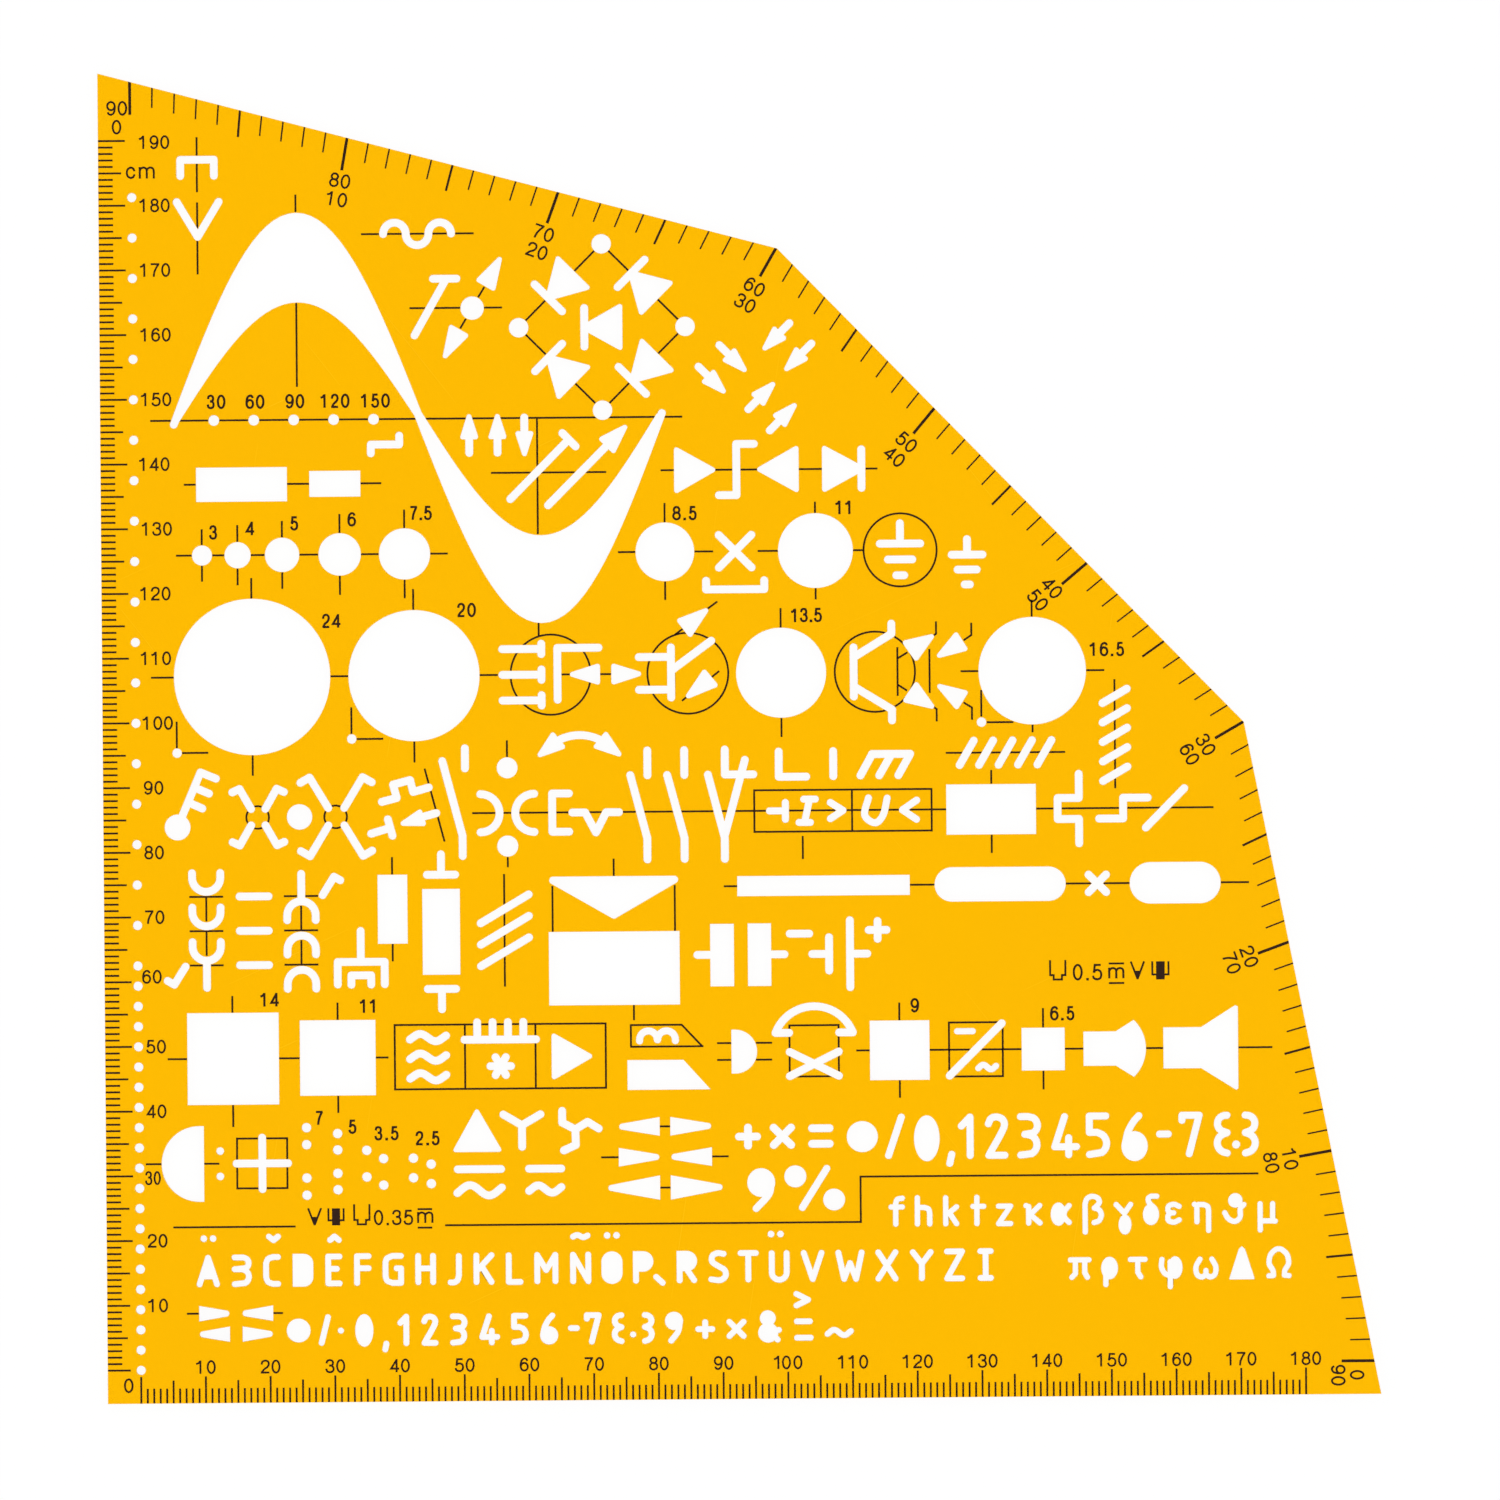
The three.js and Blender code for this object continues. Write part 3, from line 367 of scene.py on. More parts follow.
upperSymbols = [
    *[disc(12.41 + 6.17 * k, sineValues["base"], 1.7) for k in range(5)],
    disc(6.32, 95.34, penValues["pricked"]),
    disc(33.32, 97.31, penValues["pricked"]),
    disc(130.67, 99.13, penValues["pricked"]),
    slot((36.63, 141.43), (36.63, 142.78), (41.03, 142.78), (41.03, 144.13)),
    slot((58.13, 134.18), (66.9, 143.0)),
    slot((66.25, 144.33), (68.28, 142.25)),
    box(9.55, 134.1, 23.65, 139.45),
    box(27.05, 134.75, 35.0, 138.8),
    arrowhead((83.85, 135.3), (89.45, 138.46), (83.85, 141.6)),
    arrowhead((102.35, 135.3), (102.35, 141.65), (96.7, 138.47)),
    slot((95.83, 142.42), (93.1, 142.42), (93.1, 134.53), (90.37, 134.53)),
    diode(112.42, 138.47, 180, 5.7),
]

circles = [
    disc(x, y, diameter)
    for x, y, diameter in (
        (10.41, 125.85, 3.15), (15.91, 125.85, 4.1), (22.79, 125.85, 5.35), (31.69, 125.85, 6.6),
        (41.71, 125.85, 7.95), (81.95, 125.85, 9.1), (105.22, 125.85, 11.6), (18.0, 107.02, 24.2),
        (43.02, 107.02, 20.3), (99.76, 107.02, 13.95), (138.57, 107.02, 16.65),
    )
]

grounds = [
    plus(92.81, 125.85, 3.57, 45, slot),
    slot((88.28, 121.33), (88.28, 119.97), (97.27, 119.97), (97.27, 121.33)),
    ground(118.3, 126.83, 2.45, (3.12, 1.88, 0.61), 129.98),
    ground(128.65, 125.03, 2.3, (2.38, 1.48, 0.4), 127.43),
]

transistors = [
    *[across(56.68, 62.42, y) for y in (103.05, 107.02, 111.0)],
    *[upright(62.72, y - 0.8, y + 0.8) for y in (103.05, 107.02, 111.0)],
    slot((71.57, 111.12), (65.2, 111.12), (65.2, 103.12)),
    arrowhead((71.4, 105.8), (71.4, 108.24), (67.5, 107.02)),
    arrowhead((73.9, 105.8), (77.75, 107.02), (73.9, 108.24)),
    upright(82.75, 103.32, 111.07),
    across(77.78, 82.45, 109.6),
    across(77.78, 82.45, 104.55),
    slot((83.0, 107.65), (89.0, 112.05)),
    arrowhead((84.15, 115.2), (85.75, 113.05), (88.2, 116.7)),
    arrowhead((87.9, 107.2), (85.4, 103.55), (89.55, 105.2)),
    upright(110.98, 103.25, 110.85),
    slot((111.3, 109.5), (116.85, 112.9), (116.85, 114.47)),
    slot((111.3, 104.6), (116.85, 101.2), (116.85, 99.52)),
    arrowhead((119.0, 111.5), (120.65, 109.1), (123.05, 112.4)),
    arrowhead((119.0, 102.6), (123.0, 101.65), (120.65, 105.0)),
    arrowhead((124.25, 109.5), (128.2, 110.5), (126.85, 112.65)),
    arrowhead((124.25, 104.7), (126.85, 101.55), (128.2, 103.7)),
]

slants = [
    *[slot((149.38, 101.92 - 3.01 * k), (153.17, 104.12 - 3.01 * k)) for k in range(5)],
    *[slot((127.24 + 3.005 * k, 92.52), (129.44 + 3.005 * k, 96.28)) for k in range(5)],
    *[slot((53.02, 68.67 - 3.32 * k), (60.48, 73.07 - 3.32 * k)) for k in range(3)],
]


# One bent leg of a lamp holder: three points that lead from its foot in towards the lamp.
def lampLeg(x, lampX, lampY, up, offsets):
    inward = 1 if lampX > x else -1
    return slot(*[(x + inward * aside, lampY - up * above) for aside, above in offsets])


antennas = [
    disc(6.3, 83.85, 4.04),
    slot((6.3, 83.85), (9.9, 92.33), (12.28, 91.35)),
    slot((9.2, 89.9), (11.2, 89.05)),
    slot((8.25, 87.6), (10.15, 86.75)),
    *[
        lampLeg(x, 18.78, 85.35, up, ((0, 3.85), (1.13, 4.37), (2.9, 1.27)))
        for x in (14.78, 22.78)
        for up in (-1, 1)
    ],
    *[
        lampLeg(x, 30.85, 85.32, up, ((0, 5.28), (1.42, 6.08), (4.28, 1.35)))
        for x in (25.33, 36.36)
        for up in (-1, 1)
    ],
    disc(25.16, 85.33, 3.97),
]

middleSymbols = [
    disc(57.3, 92.66, 3.27),
    disc(57.3, 80.57, 3.3),
    upright(50.79, 92.63, 95.73),
    upright(78.98, 91.33, 95.17),
    upright(84.68, 91.33, 95.17),
    upright(107.7, 90.97, 94.83),
    slot(arc(68.5, 90.63, 7.0, 115, 65)),
    arrowhead((62.4, 94.65), (65.9, 95.85), (64.4, 97.7)),
    arrowhead((74.6, 94.65), (72.6, 97.7), (71.1, 95.85)),
    slot((38.8, 84.85), (39.5, 82.3)),
    slot((36.2, 82.65), (38.85, 83.43)),
    slot((37.9, 87.55), (40.2, 88.15), (39.65, 90.2), (42.28, 90.88), (42.75, 89.05), (45.17, 89.72)),
    slot((46.3, 85.75), (43.8, 85.08)),
    arrowhead((43.75, 85.95), (41.15, 84.2), (44.3, 84.15)),
    slot((47.28, 93.78), (50.33, 82.2), (50.33, 79.08)),
    slot((76.32, 91.38), (78.88, 81.6), (78.88, 78.33)),
    slot((82.02, 91.35), (84.63, 81.6), (84.63, 78.37)),
    slot((88.32, 91.35), (90.85, 81.6), (90.85, 78.32)),
    slot((90.9, 82.1), (94.05, 93.6)),
    slot((90.95, 95.22), (90.95, 91.35), (95.33, 91.35)),
    slot((53.12, 88.62), arc(53.12, 85.67, 2.95, 80, -80), (53.12, 82.72)),
    slot((61.45, 88.62), arc(61.45, 85.67, 2.95, 100, 260), (61.45, 82.72)),
    slot((66.82, 88.63), (64.22, 88.63), (64.22, 82.72), (66.82, 82.72)),
    slot((67.33, 85.67), (69.3, 85.67), (70.95, 82.57), (72.55, 85.67), (74.53, 85.67)),
    slot((99.28, 94.83), (99.28, 90.93), (103.52, 90.93)),
    across(113.7, 119.6, 94.33),
    slot((111.9, 91.03), (113.6, 94.1)),
    slot((114.8, 91.03), (116.6, 94.1)),
    slot((117.75, 91.03), (119.5, 94.1)),
    box(125.1, 81.75, 139.0, 89.55),
    slot((145.62, 91.03), (145.62, 87.3), (142.33, 87.3), (142.33, 84.05), (145.62, 84.05), (145.62, 80.28)),
    slot((148.73, 84.07), (152.45, 84.07), (152.45, 87.27), (156.27, 87.27)),
    slot((155.93, 82.63), (161.92, 88.67)),
]

# The small signs in the relay frame.
relaySigns = [
    fine((97.8, 85.67), (99.95, 85.67)),
    fine((100.25, 84.35), (100.25, 86.95)),
    fine((103.1, 87.45), (104.9, 87.45)),
    fine((102.35, 83.85), (104.1, 83.85)),
    fine((103.25, 84.05), (103.95, 87.25)),
    fine((107.2, 86.9), (109.15, 85.67), (107.2, 84.4)),
    fine(bend((113.1, 87.55), (112.5, 84.9), (114.1, 83.7), (115.35, 84.9), (116.0, 87.5))),
    fine((120.55, 87.15), (118.35, 85.67), (120.5, 84.2)),
]

# Cups, arches and bars, three of each down the sheet.
coils = [
    *[
        slot((8.47, y + 0.72), arc(10.65, y, 2.18, 180, 360), (12.83, y + 0.72))
        for y in (76.05, 70.72, 65.39)
    ],
    *[slot((23.13, y - 0.72), arc(25.33, y, 2.2, 180, 0), (27.53, y - 0.72)) for y in (70.1, 64.8, 59.5)],
    *[across(15.78, 20.27, 73.1 - 5.31 * k) for k in range(3)],
    upright(10.66, 62.9, 59.03),
    upright(25.33, 72.6, 76.53),
]

lowerSymbols = [
    across(44.77, 49.13, 76.22),
    upright(46.95, 76.52, 79.38),
    across(44.77, 49.13, 58.57),
    upright(46.95, 58.27, 55.43),
    slot((28.63, 73.22), (30.4, 76.05), (31.37, 75.5)),
    slot((4.58, 60.15), (5.6, 59.55), (7.37, 62.33)),
    slot((30.87, 59.38), (30.87, 62.85), (38.13, 62.85), (38.13, 59.38)),
    upright(34.45, 63.15, 67.63),
    slot((32.97, 59.33), (32.97, 60.77), (36.03, 60.77), (36.03, 59.33)),
    box(37.1, 65.6, 41.75, 76.3),
    box(44.0, 60.75, 49.85, 74.05),
    rounded(0.6, (64.25, 75.2), (73.62, 69.8), (83.0, 75.2)),
    box(63.5, 55.85, 83.75, 67.25),
    box(88.45, 58.6, 92.15, 68.3),
    across(86.47, 88.5, 63.5),
    box(94.25, 58.6, 97.9, 68.33),
    across(97.8, 99.93, 63.5),
    across(100.77, 103.78, 66.67),
    upright(106.83, 60.93, 66.08),
    across(104.23, 106.53, 63.5),
    upright(110.07, 58.33, 68.68),
    across(110.37, 112.73, 63.5),
    plus(114.35, 67.15, 1.38, 0, slot),
    box(92.7, 72.5, 119.4, 75.65),
    stroke(5.35, (125.875, 74.08), (140.825, 74.08)),
    stroke(6.45, (156.575, 74.08), (164.225, 74.08)),
    plus(148.37, 74.07, 1.92, 45, slot),
]

buildingSymbols = [
    box(7.5, 40.9, 21.7, 55.15),
    box(24.9, 42.2, 36.65, 53.9),
    box(113.0, 43.9, 122.25, 53.15),
    box(136.45, 45.2, 143.15, 51.85),
    polygon((10, 37.69), arc(9.27, 31.82, 5.87, 90, 270), (10, 25.95)),
    plus(18.98, 31.83, 3.98, 0, slot),
    disc(12.48, 33.79, 1.23),
    disc(12.47, 29.87, 1.23),
    *[tilde(44.73, 51.07 - 3.03 * k, 5.6, 0.55, slot) for k in range(3)],
    across(50.37, 61.43, 50.68),
    *[upright(52.35 + 2.375 * k, 50.98, 53.38) for k in range(4)],
    *[placed(55.94, 46.57, 60 * k, slot((-1.6, 0), (1.6, 0))) for k in range(3)],
    arrowhead((64.2, 44.85), (69.7, 48.0), (64.2, 51.15)),
    fine((77.43, 50.28), arc(78.8, 50.45, 1.37, 180, 0)),
    fine(arc(81.6, 50.45, 1.37, 180, 0), (82.97, 50.28)),
    polygon((75.5, 42.7), (88.4, 42.7), (84.2, 47.35), (75.5, 47.35)),
    polygon((91.6, 45.1), arc(92.18, 48.52, 3.42, -90, 90), (91.6, 51.94)),
    slot((98.45, 51.35), arc(104.42, 49.02, 6.41, 157, 23), (110.4, 51.35)),
    across(98.45, 100.55, 51.35),
    across(108.3, 110.4, 51.35),
    slot((100.62, 48.4), (108.2, 44.65)),
    slot((100.62, 44.65), (108.2, 48.4)),
    slot((125.32, 44.53), (133.43, 52.57)),
    stroke(1.0, (126.52, 51.38), (128.93, 51.38)),
    tilde(131.12, 45.82, 2.75, 0.33, lambda *points: stroke(1.0, *points)),
    polygon(
        (146, 45.85), (151, 45.85), (153.8, 44.1), arc(149.52, 48.53, 6.18, -42.2, 42.2),
        (153.8, 52.95), (151, 51.2), (146, 51.2),
    ),
    polygon(
        (158.35, 45.35), (164.2, 45.35), (169.6, 41.95), (169.95, 42.2), (169.95, 54.9), (169.5, 55.1),
        (164.2, 51.75), (158.35, 51.75),
    ),
]

prickedPlaces = (
    (25.85, 37.3), (25.85, 34.67), (25.85, 29.52), (25.85, 26.86), (30.65, 36.35), (30.65, 33.82),
    (30.65, 30.2), (30.65, 27.67), (35.13, 33.72), (35.13, 29.61), (37.72, 32.42), (37.72, 28.32),
    (42.33, 32.45), (42.33, 29.42), (45.07, 31.51), (45.07, 28.49),
)
plugSymbols = [
    *[disc(x, y, penValues["pricked"]) for x, y in prickedPlaces],
    rounded(0.35, (48.85, 33.65), (55.6, 33.65), (52.2, 39.6)),
    upright(59.15, 37.1, 34.07),
    slot((56.28, 39.08), (59.15, 37.4), (62.02, 39.08)),
    slot((67.4, 36.7), (65.37, 37.75), (65.37, 39.58)),
    slot((67.4, 36.7), (69.3, 37.85), (71.0, 36.8)),
    slot((67.4, 36.7), (67.45, 34.3), (65.6, 33.45)),
    across(49.17, 55.87, 30.67),
    across(60.18, 65.17, 30.67),
    tilde(52.52, 27.4, 6.9, 0.78, slot),
    tilde(62.67, 27.52, 5.0, 0.55, slot),
    wedge(80.45, 74.15, 37.06, 1.48),
    wedge(82.05, 88.4, 37.06, 1.48),
    wedge(74.05, 80.35, 32.33, 1.48),
    wedge(88.5, 82.2, 32.33, 1.48),
    wedge(80.45, 72.4, 27.6, 1.92),
    wedge(82.05, 90.1, 27.6, 1.92),
    wedge(9.0, 13.72, 8.68, 1.24),
    wedge(20.5, 15.72, 8.68, 1.24),
    wedge(13.8, 9.1, 5.48, 1.22),
    wedge(15.7, 20.4, 5.48, 1.22),
    plus(94.07, 35.37, 1.4, 0, slot),
    plus(99.38, 35.37, 1.9, 45, slot),
    across(103.97, 106.68, 34.17),
    across(103.97, 106.68, 36.57),
    disc(111.73, 35.22, 4.85),
    disc(24.38, 5.96, 3.73),
]

capitals = [
    text((9.13, 13.22), (10.47, 17.3)),
    text((11.82, 13.22), (10.47, 17.3)),
    polygon((9.55, 13.95), (11.4, 13.95), (10.75, 17), (10.2, 17)),
    text((14.57, 17.32), (15.9, 17.32), arc(15.85, 16.43, 0.88, 60, -60), (14.57, 15.5)),
    text((14.57, 15.5), (15.7, 15.5), arc(15.62, 14.35, 1.14, 60, -60), (14.57, 13.2)),
    text((21.27, 17.35), bend((20.5, 17.35), (19.75, 17.05), (19.42, 16.35)), (19.42, 14.2)),
    text((19.42, 14.2), bend((19.42, 14.2), (19.75, 13.5), (20.5, 13.2)), (21.27, 13.2)),
    polygon(
        (23.5, 12.7), (25.2, 12.7), arc(25.2, 14.25, 1.55, -75, 0), arc(25.2, 16.3, 1.55, 0, 75),
        (25.2, 17.85), (23.5, 17.85),
    ),
    text((30.77, 17.35), (29.03, 17.35), (29.03, 13.2), (30.77, 13.2)),
    text((29.3, 15.45), (30.35, 15.45)),
    text((35.27, 17.37), (33.48, 17.37), (33.48, 13.23)),
    text((33.75, 15.5), (35.27, 15.5)),
    text((40.27, 17.37), bend((38.95, 17.37), (38.15, 17.0), (37.88, 16.4)), (37.88, 14.2)),
    text((37.88, 14.2), bend((37.88, 14.2), (38.15, 13.55), (38.95, 13.2)), (40.27, 13.2)),
    text((40.27, 13.2), (40.27, 15.45), (39.6, 15.45)),
    text((42.93, 13.28), (42.93, 17.33)),
    text((45.23, 13.28), (45.23, 17.33)),
    text((43.2, 15.4), (45.0, 15.4)),
    text((49.22, 17.27), bend((49.22, 14.3), (49.0, 13.55), (48.5, 13.22), (47.93, 13.2))),
    text((51.93, 13.23), (51.93, 17.32)),
    text((54.27, 17.37), (52.3, 15.25)),
    text((52.72, 15.7), (54.25, 13.23)),
    text((56.93, 17.32), (56.93, 13.2), (58.73, 13.2)),
    text((61.33, 13.28), (61.33, 17.33), (62.72, 15.0), (64.13, 17.33), (64.13, 13.28)),
    text((66.87, 13.23), (66.87, 17.33), (69.22, 13.23), (69.22, 17.33)),
    polygon(arc(72.88, 14.4, 1.65, 180, 360), arc(72.88, 16.18, 1.65, 0, 180)),
    text((76.58, 13.23), (76.58, 17.0)),
    polygon((76.1, 14.6), (77.7, 14.6), arc(77.7, 16.21, 1.61, -80, 80), (77.7, 17.82), (76.1, 17.82)),
    text((79.7, 13.8), (80.7, 12.87)),
    text((83.33, 13.23), (83.33, 17.0)),
    text((84.2, 15.3), (85.57, 13.25)),
    polygon((82.85, 14.6), (84.45, 14.6), arc(84.45, 16.21, 1.61, -80, 80), (84.45, 17.82), (82.85, 17.82)),
    text(
        bend(
            (90.15, 17.28), (89.2, 17.4), (88.4, 16.95), (88.4, 16.05), (89.3, 15.4), (90.3, 14.75),
            (90.4, 13.8), (89.6, 13.22), (88.22, 13.35),
        )
    ),
    text((92.78, 17.37), (95.13, 17.37)),
    text((93.95, 13.28), (93.95, 17.07)),
    text((97.58, 17.32), arc(98.73, 14.35, 1.15, 180, 360), (99.88, 17.32)),
    text((102.53, 17.32), (103.9, 13.28), (105.28, 17.32)),
    text((107.88, 17.32), (108.75, 13.25), (109.67, 15.7), (110.6, 13.25), (111.48, 17.32)),
    text((114.05, 13.25), (116.7, 17.32)),
    text((114.05, 17.32), (116.7, 13.25)),
    text((119.4, 17.3), (120.77, 15.5), (122.15, 17.3)),
    text((120.77, 13.28), (120.77, 15.3)),
    text((124.68, 17.37), (127.0, 17.37), (124.68, 13.2), (127.0, 13.2)),
    text((129.83, 17.37), (131.43, 17.37)),
    text((129.83, 13.23), (131.43, 13.23)),
    text((130.63, 13.53), (130.63, 17.07)),
]

accents = [
    *[disc(x, 20.27, 1.08) for x in (9.83, 11.27, 72.17, 73.62, 97.5, 98.96)],
    text((19.9, 20.5), (20.6, 19.95), (21.3, 20.5)),
    text((29.35, 19.9), (30.03, 20.45), (30.7, 19.9)),
    tilde(68.02, 20.2, 2.25, 0.16, text),
]

textSigns = [
    text((27.92, 4.02), (28.93, 7.98)),
    disc(30.91, 5.89, 1.0),
    disc(76.07, 4.93, 1.0),
    disc(169.5, 33.54, 1.3),
    oval(34.53, 5.9, 2.85, 5.1),
    oval(121.7, 34.88, 4.0, 7.15),
    text((37.75, 2.93), (37.93, 3.82)),
    bigText((125.22, 30.98), (125.53, 32.37)),
    bigText((115.77, 32.27), (117.78, 38.18)),
    oval(82.4, 6.98, 2.85, 2.88),
    text(bend((83.25, 6.3), (82.95, 5.2), (81.95, 3.92))),
    plus(87.22, 5.67, 1.08, 0, text),
    plus(92.05, 5.66, 1.55, 45, text),
    disc(96.9, 7.28, 2.5),
    disc(96.95, 5.05, 3.15),
    text((97.2, 5.2), (98.6, 5.45)),
    text((97.2, 5.2), (98.4, 3.95)),
    text((101.35, 11.0), (103.15, 10.08), (101.35, 9.2)),
    text((101.4, 6.75), (103.4, 6.75)),
    text((101.4, 4.22), (103.5, 4.22)),
    tilde(107.92, 4.98, 3.6, 0.4, text),
    oval(96.05, 28.25, 4.35, 4.5),
    bigText(bend((97.55, 28.0), (97.2, 26.4), (95.25, 24.25))),
    disc(101.33, 29.16, 3.45),
    bigText((102.4, 24.35), (106.2, 30.35)),
    disc(107.3, 25.54, 3.42),
]

smallLetters = [
    greek((116.8, 21.65), (116.8, 24.8), bend((116.8, 24.8), (117.05, 25.45), (117.82, 25.65))),
    greek((116.1, 24.3), (117.82, 24.3)),
    greek((120.15, 21.65), (120.15, 25.7)),
    greek((120.3, 24.2), bend((121.2, 24.2), (121.85, 23.95), (122.05, 23.3)), (122.05, 21.65)),
    greek((124.53, 21.65), (124.53, 25.66)),
    greek((126.2, 24.25), (124.9, 23.2)),
    greek((125.1, 23.35), (126.2, 21.65)),
    greek((128.75, 24.3), (130.4, 24.3)),
    greek((129.35, 21.65), (129.35, 25.7)),
    greek((132.7, 24.3), (134.55, 24.3), (132.7, 21.6), (134.55, 21.6)),
    greek((137.35, 21.65), (137.35, 24.2), (136.95, 24.35)),
    greek((139.05, 24.35), (137.6, 22.95), (139.1, 21.65)),
    oval(141.95, 23.0, 2.45, 3.65),
    greek(bend((143.6, 24.3), (143.0, 23.6), (142.8, 22.9), (143.0, 22.3), (143.6, 21.7))),
    greek(
        (146.07, 20.2), (146.07, 24.5),
        bend((146.07, 24.5), (146.35, 25.3), (147.1, 25.7), (148.0, 25.45), (148.27, 24.7), (147.62, 23.97)),
    ),
    greek(bend((147.5, 23.9), (148.25, 23.6), (148.57, 22.8), (148.22, 21.95), (147.45, 21.65))),
    oval(152.22, 21.3, 2.05, 3.15),
    greek((150.88, 24.4), (152.15, 23.05), (153.1, 24.4)),
    oval(156.25, 22.85, 2.55, 3.4),
    greek((157.15, 25.65), bend((156.3, 25.65), (155.85, 25.3), (156.0, 24.6), (156.6, 24.0))),
    greek(bend((160.6, 24.05), (159.8, 24.37), (159.0, 24.1), (158.9, 23.4), (159.35, 23.05))),
    greek(bend((159.35, 23.05), (158.9, 22.65), (158.95, 21.9), (159.75, 21.6), (160.6, 21.95))),
    greek((159.35, 23.05), (159.75, 23.05)),
    greek((163.35, 21.65), (163.35, 24.1), (162.98, 24.35)),
    greek((163.6, 24.3), bend((164.4, 24.3), (165.0, 24.0), (165.15, 23.4)), (165.15, 20.3)),
    disc(169.3, 24.9, 2.3),
    greek(bend((167.65, 23.0), (168.2, 22.1), (169.2, 21.65), (170.0, 22.3), (170.05, 23.6), (170.6, 24.25))),
    greek((173.12, 20.3), (173.12, 24.35)),
    greek((173.4, 21.7), (175.05, 21.7), (175.05, 24.35)),
    greek((175.05, 21.7), (175.45, 21.65)),
    greek((143.75, 15.9), (146.6, 15.9)),
    greek((144.5, 15.7), (144.5, 13.8), (143.95, 13.2)),
    greek((145.95, 15.7), (145.95, 13.9), (146.35, 13.2)),
    oval(149.78, 14.6, 2.65, 3.55),
    greek((149.2, 13.6), (149.2, 12.05)),
    greek((153.02, 15.9), (155.27, 15.9)),
    greek((154.15, 15.7), (154.15, 13.9), (154.6, 13.2)),
    oval(159.93, 14.6, 2.3, 3.55),
    greek(bend((157.88, 15.85), (157.8, 14.7), (158.28, 13.75), (159.0, 13.4), (159.6, 13.3))),
    greek((159.15, 15.5), (159.15, 11.65)),
    greek(bend((163.75, 15.85), (163.15, 14.7), (163.3, 13.5), (164.05, 13.1), (164.67, 13.5))),
    greek(bend((164.67, 13.5), (165.3, 13.1), (166.05, 13.5), (166.2, 14.7), (165.6, 15.85))),
    greek((164.67, 13.4), (164.67, 14.1)),
    polygon(
        (168.25, 12.65), (172.2, 12.65), (172.15, 13.0), (170.75, 17.4), (170.25, 17.85),
        (169.75, 17.4), (168.3, 13.0),
    ),
    greek(
        (174.4, 13.2), (175.1, 13.25),
        bend(
            (175.1, 13.3), (175.0, 14.1), (174.45, 15.1), (174.65, 16.4), (175.4, 17.2), (175.95, 17.35),
            (176.5, 17.2), (177.25, 16.4), (177.45, 15.1), (176.9, 14.1), (176.8, 13.3),
        ),
        (177.5, 13.2),
    ),
]


# A row of cut-out figures and brackets at the given starts. Each is drawn for the 5 mm row with its origin
# at the lower left of its centre line: place = start + scale * (u, v). The belly of the six is given by its
# middle and size, in millimetres.
def figureRow(y, scale, pen, starts, belly):
    one, two, three, four, five, six, minus, seven, left, right = starts

    def at(start, *points):
        return pen(joinPath(*points) * scale + (start, y))

    return [
        at(one, (0, 3.13), (0.92, 4.08), (0.92, 0)),
        at(two, bend(
            (0.02, 3.35), (0.3, 3.9), (0.87, 4.07), (1.5, 3.83), (1.72, 3.2), (1.3, 2.2), (0.1, 0.1)
        )),
        at(two, (0.05, 0), (1.75, 0)),
        at(three, (0, 4.08), (0.8, 4.08), arc(0.85, 3.14, 0.94, 60, -60), (0.45, 2.2)),
        at(three, (0.45, 2.2), (0.6, 2.2), arc(0.63, 1.1, 1.1, 60, -60), (0, 0)),
        at(four, (1.1, 4.04), (0.05, 0.85), (2.35, 0.85)),
        at(four, (1.52, 0), (1.52, 1.8)),
        at(five, (1.75, 4.08), (0, 4.08), (0, 2.35), (0.8, 2.35), arc(0.65, 1.17, 1.17, 55, -55), (0, 0)),
        at(six, bend((1.5, 4.08), (0.9, 3.4), (0.35, 2.4), (0.1, 1.4))),
        oval(six + belly[0], y + belly[1], belly[2], belly[3]),
        at(minus, (0, 2.11), (0.92, 2.11)),
        at(seven, (0, 3.55), (0, 4.08), (1.83, 4.08), (0.75, 0)),
        at(left, (1.05, 4.05), arc(0.9, 3.17, 0.87, 100, 250), (1.05, 2.2)),
        at(left, (1.05, 2.2), arc(1.02, 1.1, 1.02, 110, 260), (1.05, 0.03)),
        at(right, (0, 4.05), arc(0.15, 3.17, 0.87, 80, -70), (0, 2.2)),
        at(right, (0, 2.2), arc(0.03, 1.1, 1.02, 70, -80), (0, 0.03)),
    ]


smallStarts = (40.1, 43.78, 48.23, 52.7, 57.68, 62.1, 66.46, 68.93, 73.22, 77.9)
bigStarts = (127.05, 131.2, 136.2, 141.4, 146.83, 152.3, 157.68, 161.15, 166.58, 170.93)
figures = [
    *figureRow(3.88, 1, text, smallStarts, (0.99, 1.02, 2.84, 2.89)),
    *figureRow(32.17, 1.456, bigText, bigStarts, (1.5, 1.25, 4.12, 4.68)),
]

shapeLists = (
    scaleHoles, topSymbols, bridge, arrows, sineWindow, upperSymbols, circles, grounds, transistors, slants,
    antennas, middleSymbols, relaySigns, coils, lowerSymbols, buildingSymbols, plugSymbols, capitals, accents,
    textSigns, smallLetters, figures,
)
cutOuts = [outline for shapes in shapeLists for shape in shapes for outline in shape]

# The sheet's own outline, from the lower left corner counter-clockwise.
lowEdge = -sheetValues["edgeMargin"]
rightEdge, topEdge = sheetValues["bottomEdgeEnd"], sheetValues["leftEdgeEnd"]
corner30 = sheetValues["corner30"] * heading(30)
corner60 = sheetValues["corner60"] * heading(60)
plate = np.array([(lowEdge, lowEdge), (rightEdge, lowEdge), corner30, corner60, (lowEdge, topEdge)])


# Twice the area that an outline encloses, positive when it runs counter-clockwise.
def signedArea(outline):
    x, y = outline.T
    return np.sum(x * np.roll(y, -1) - y * np.roll(x, -1))


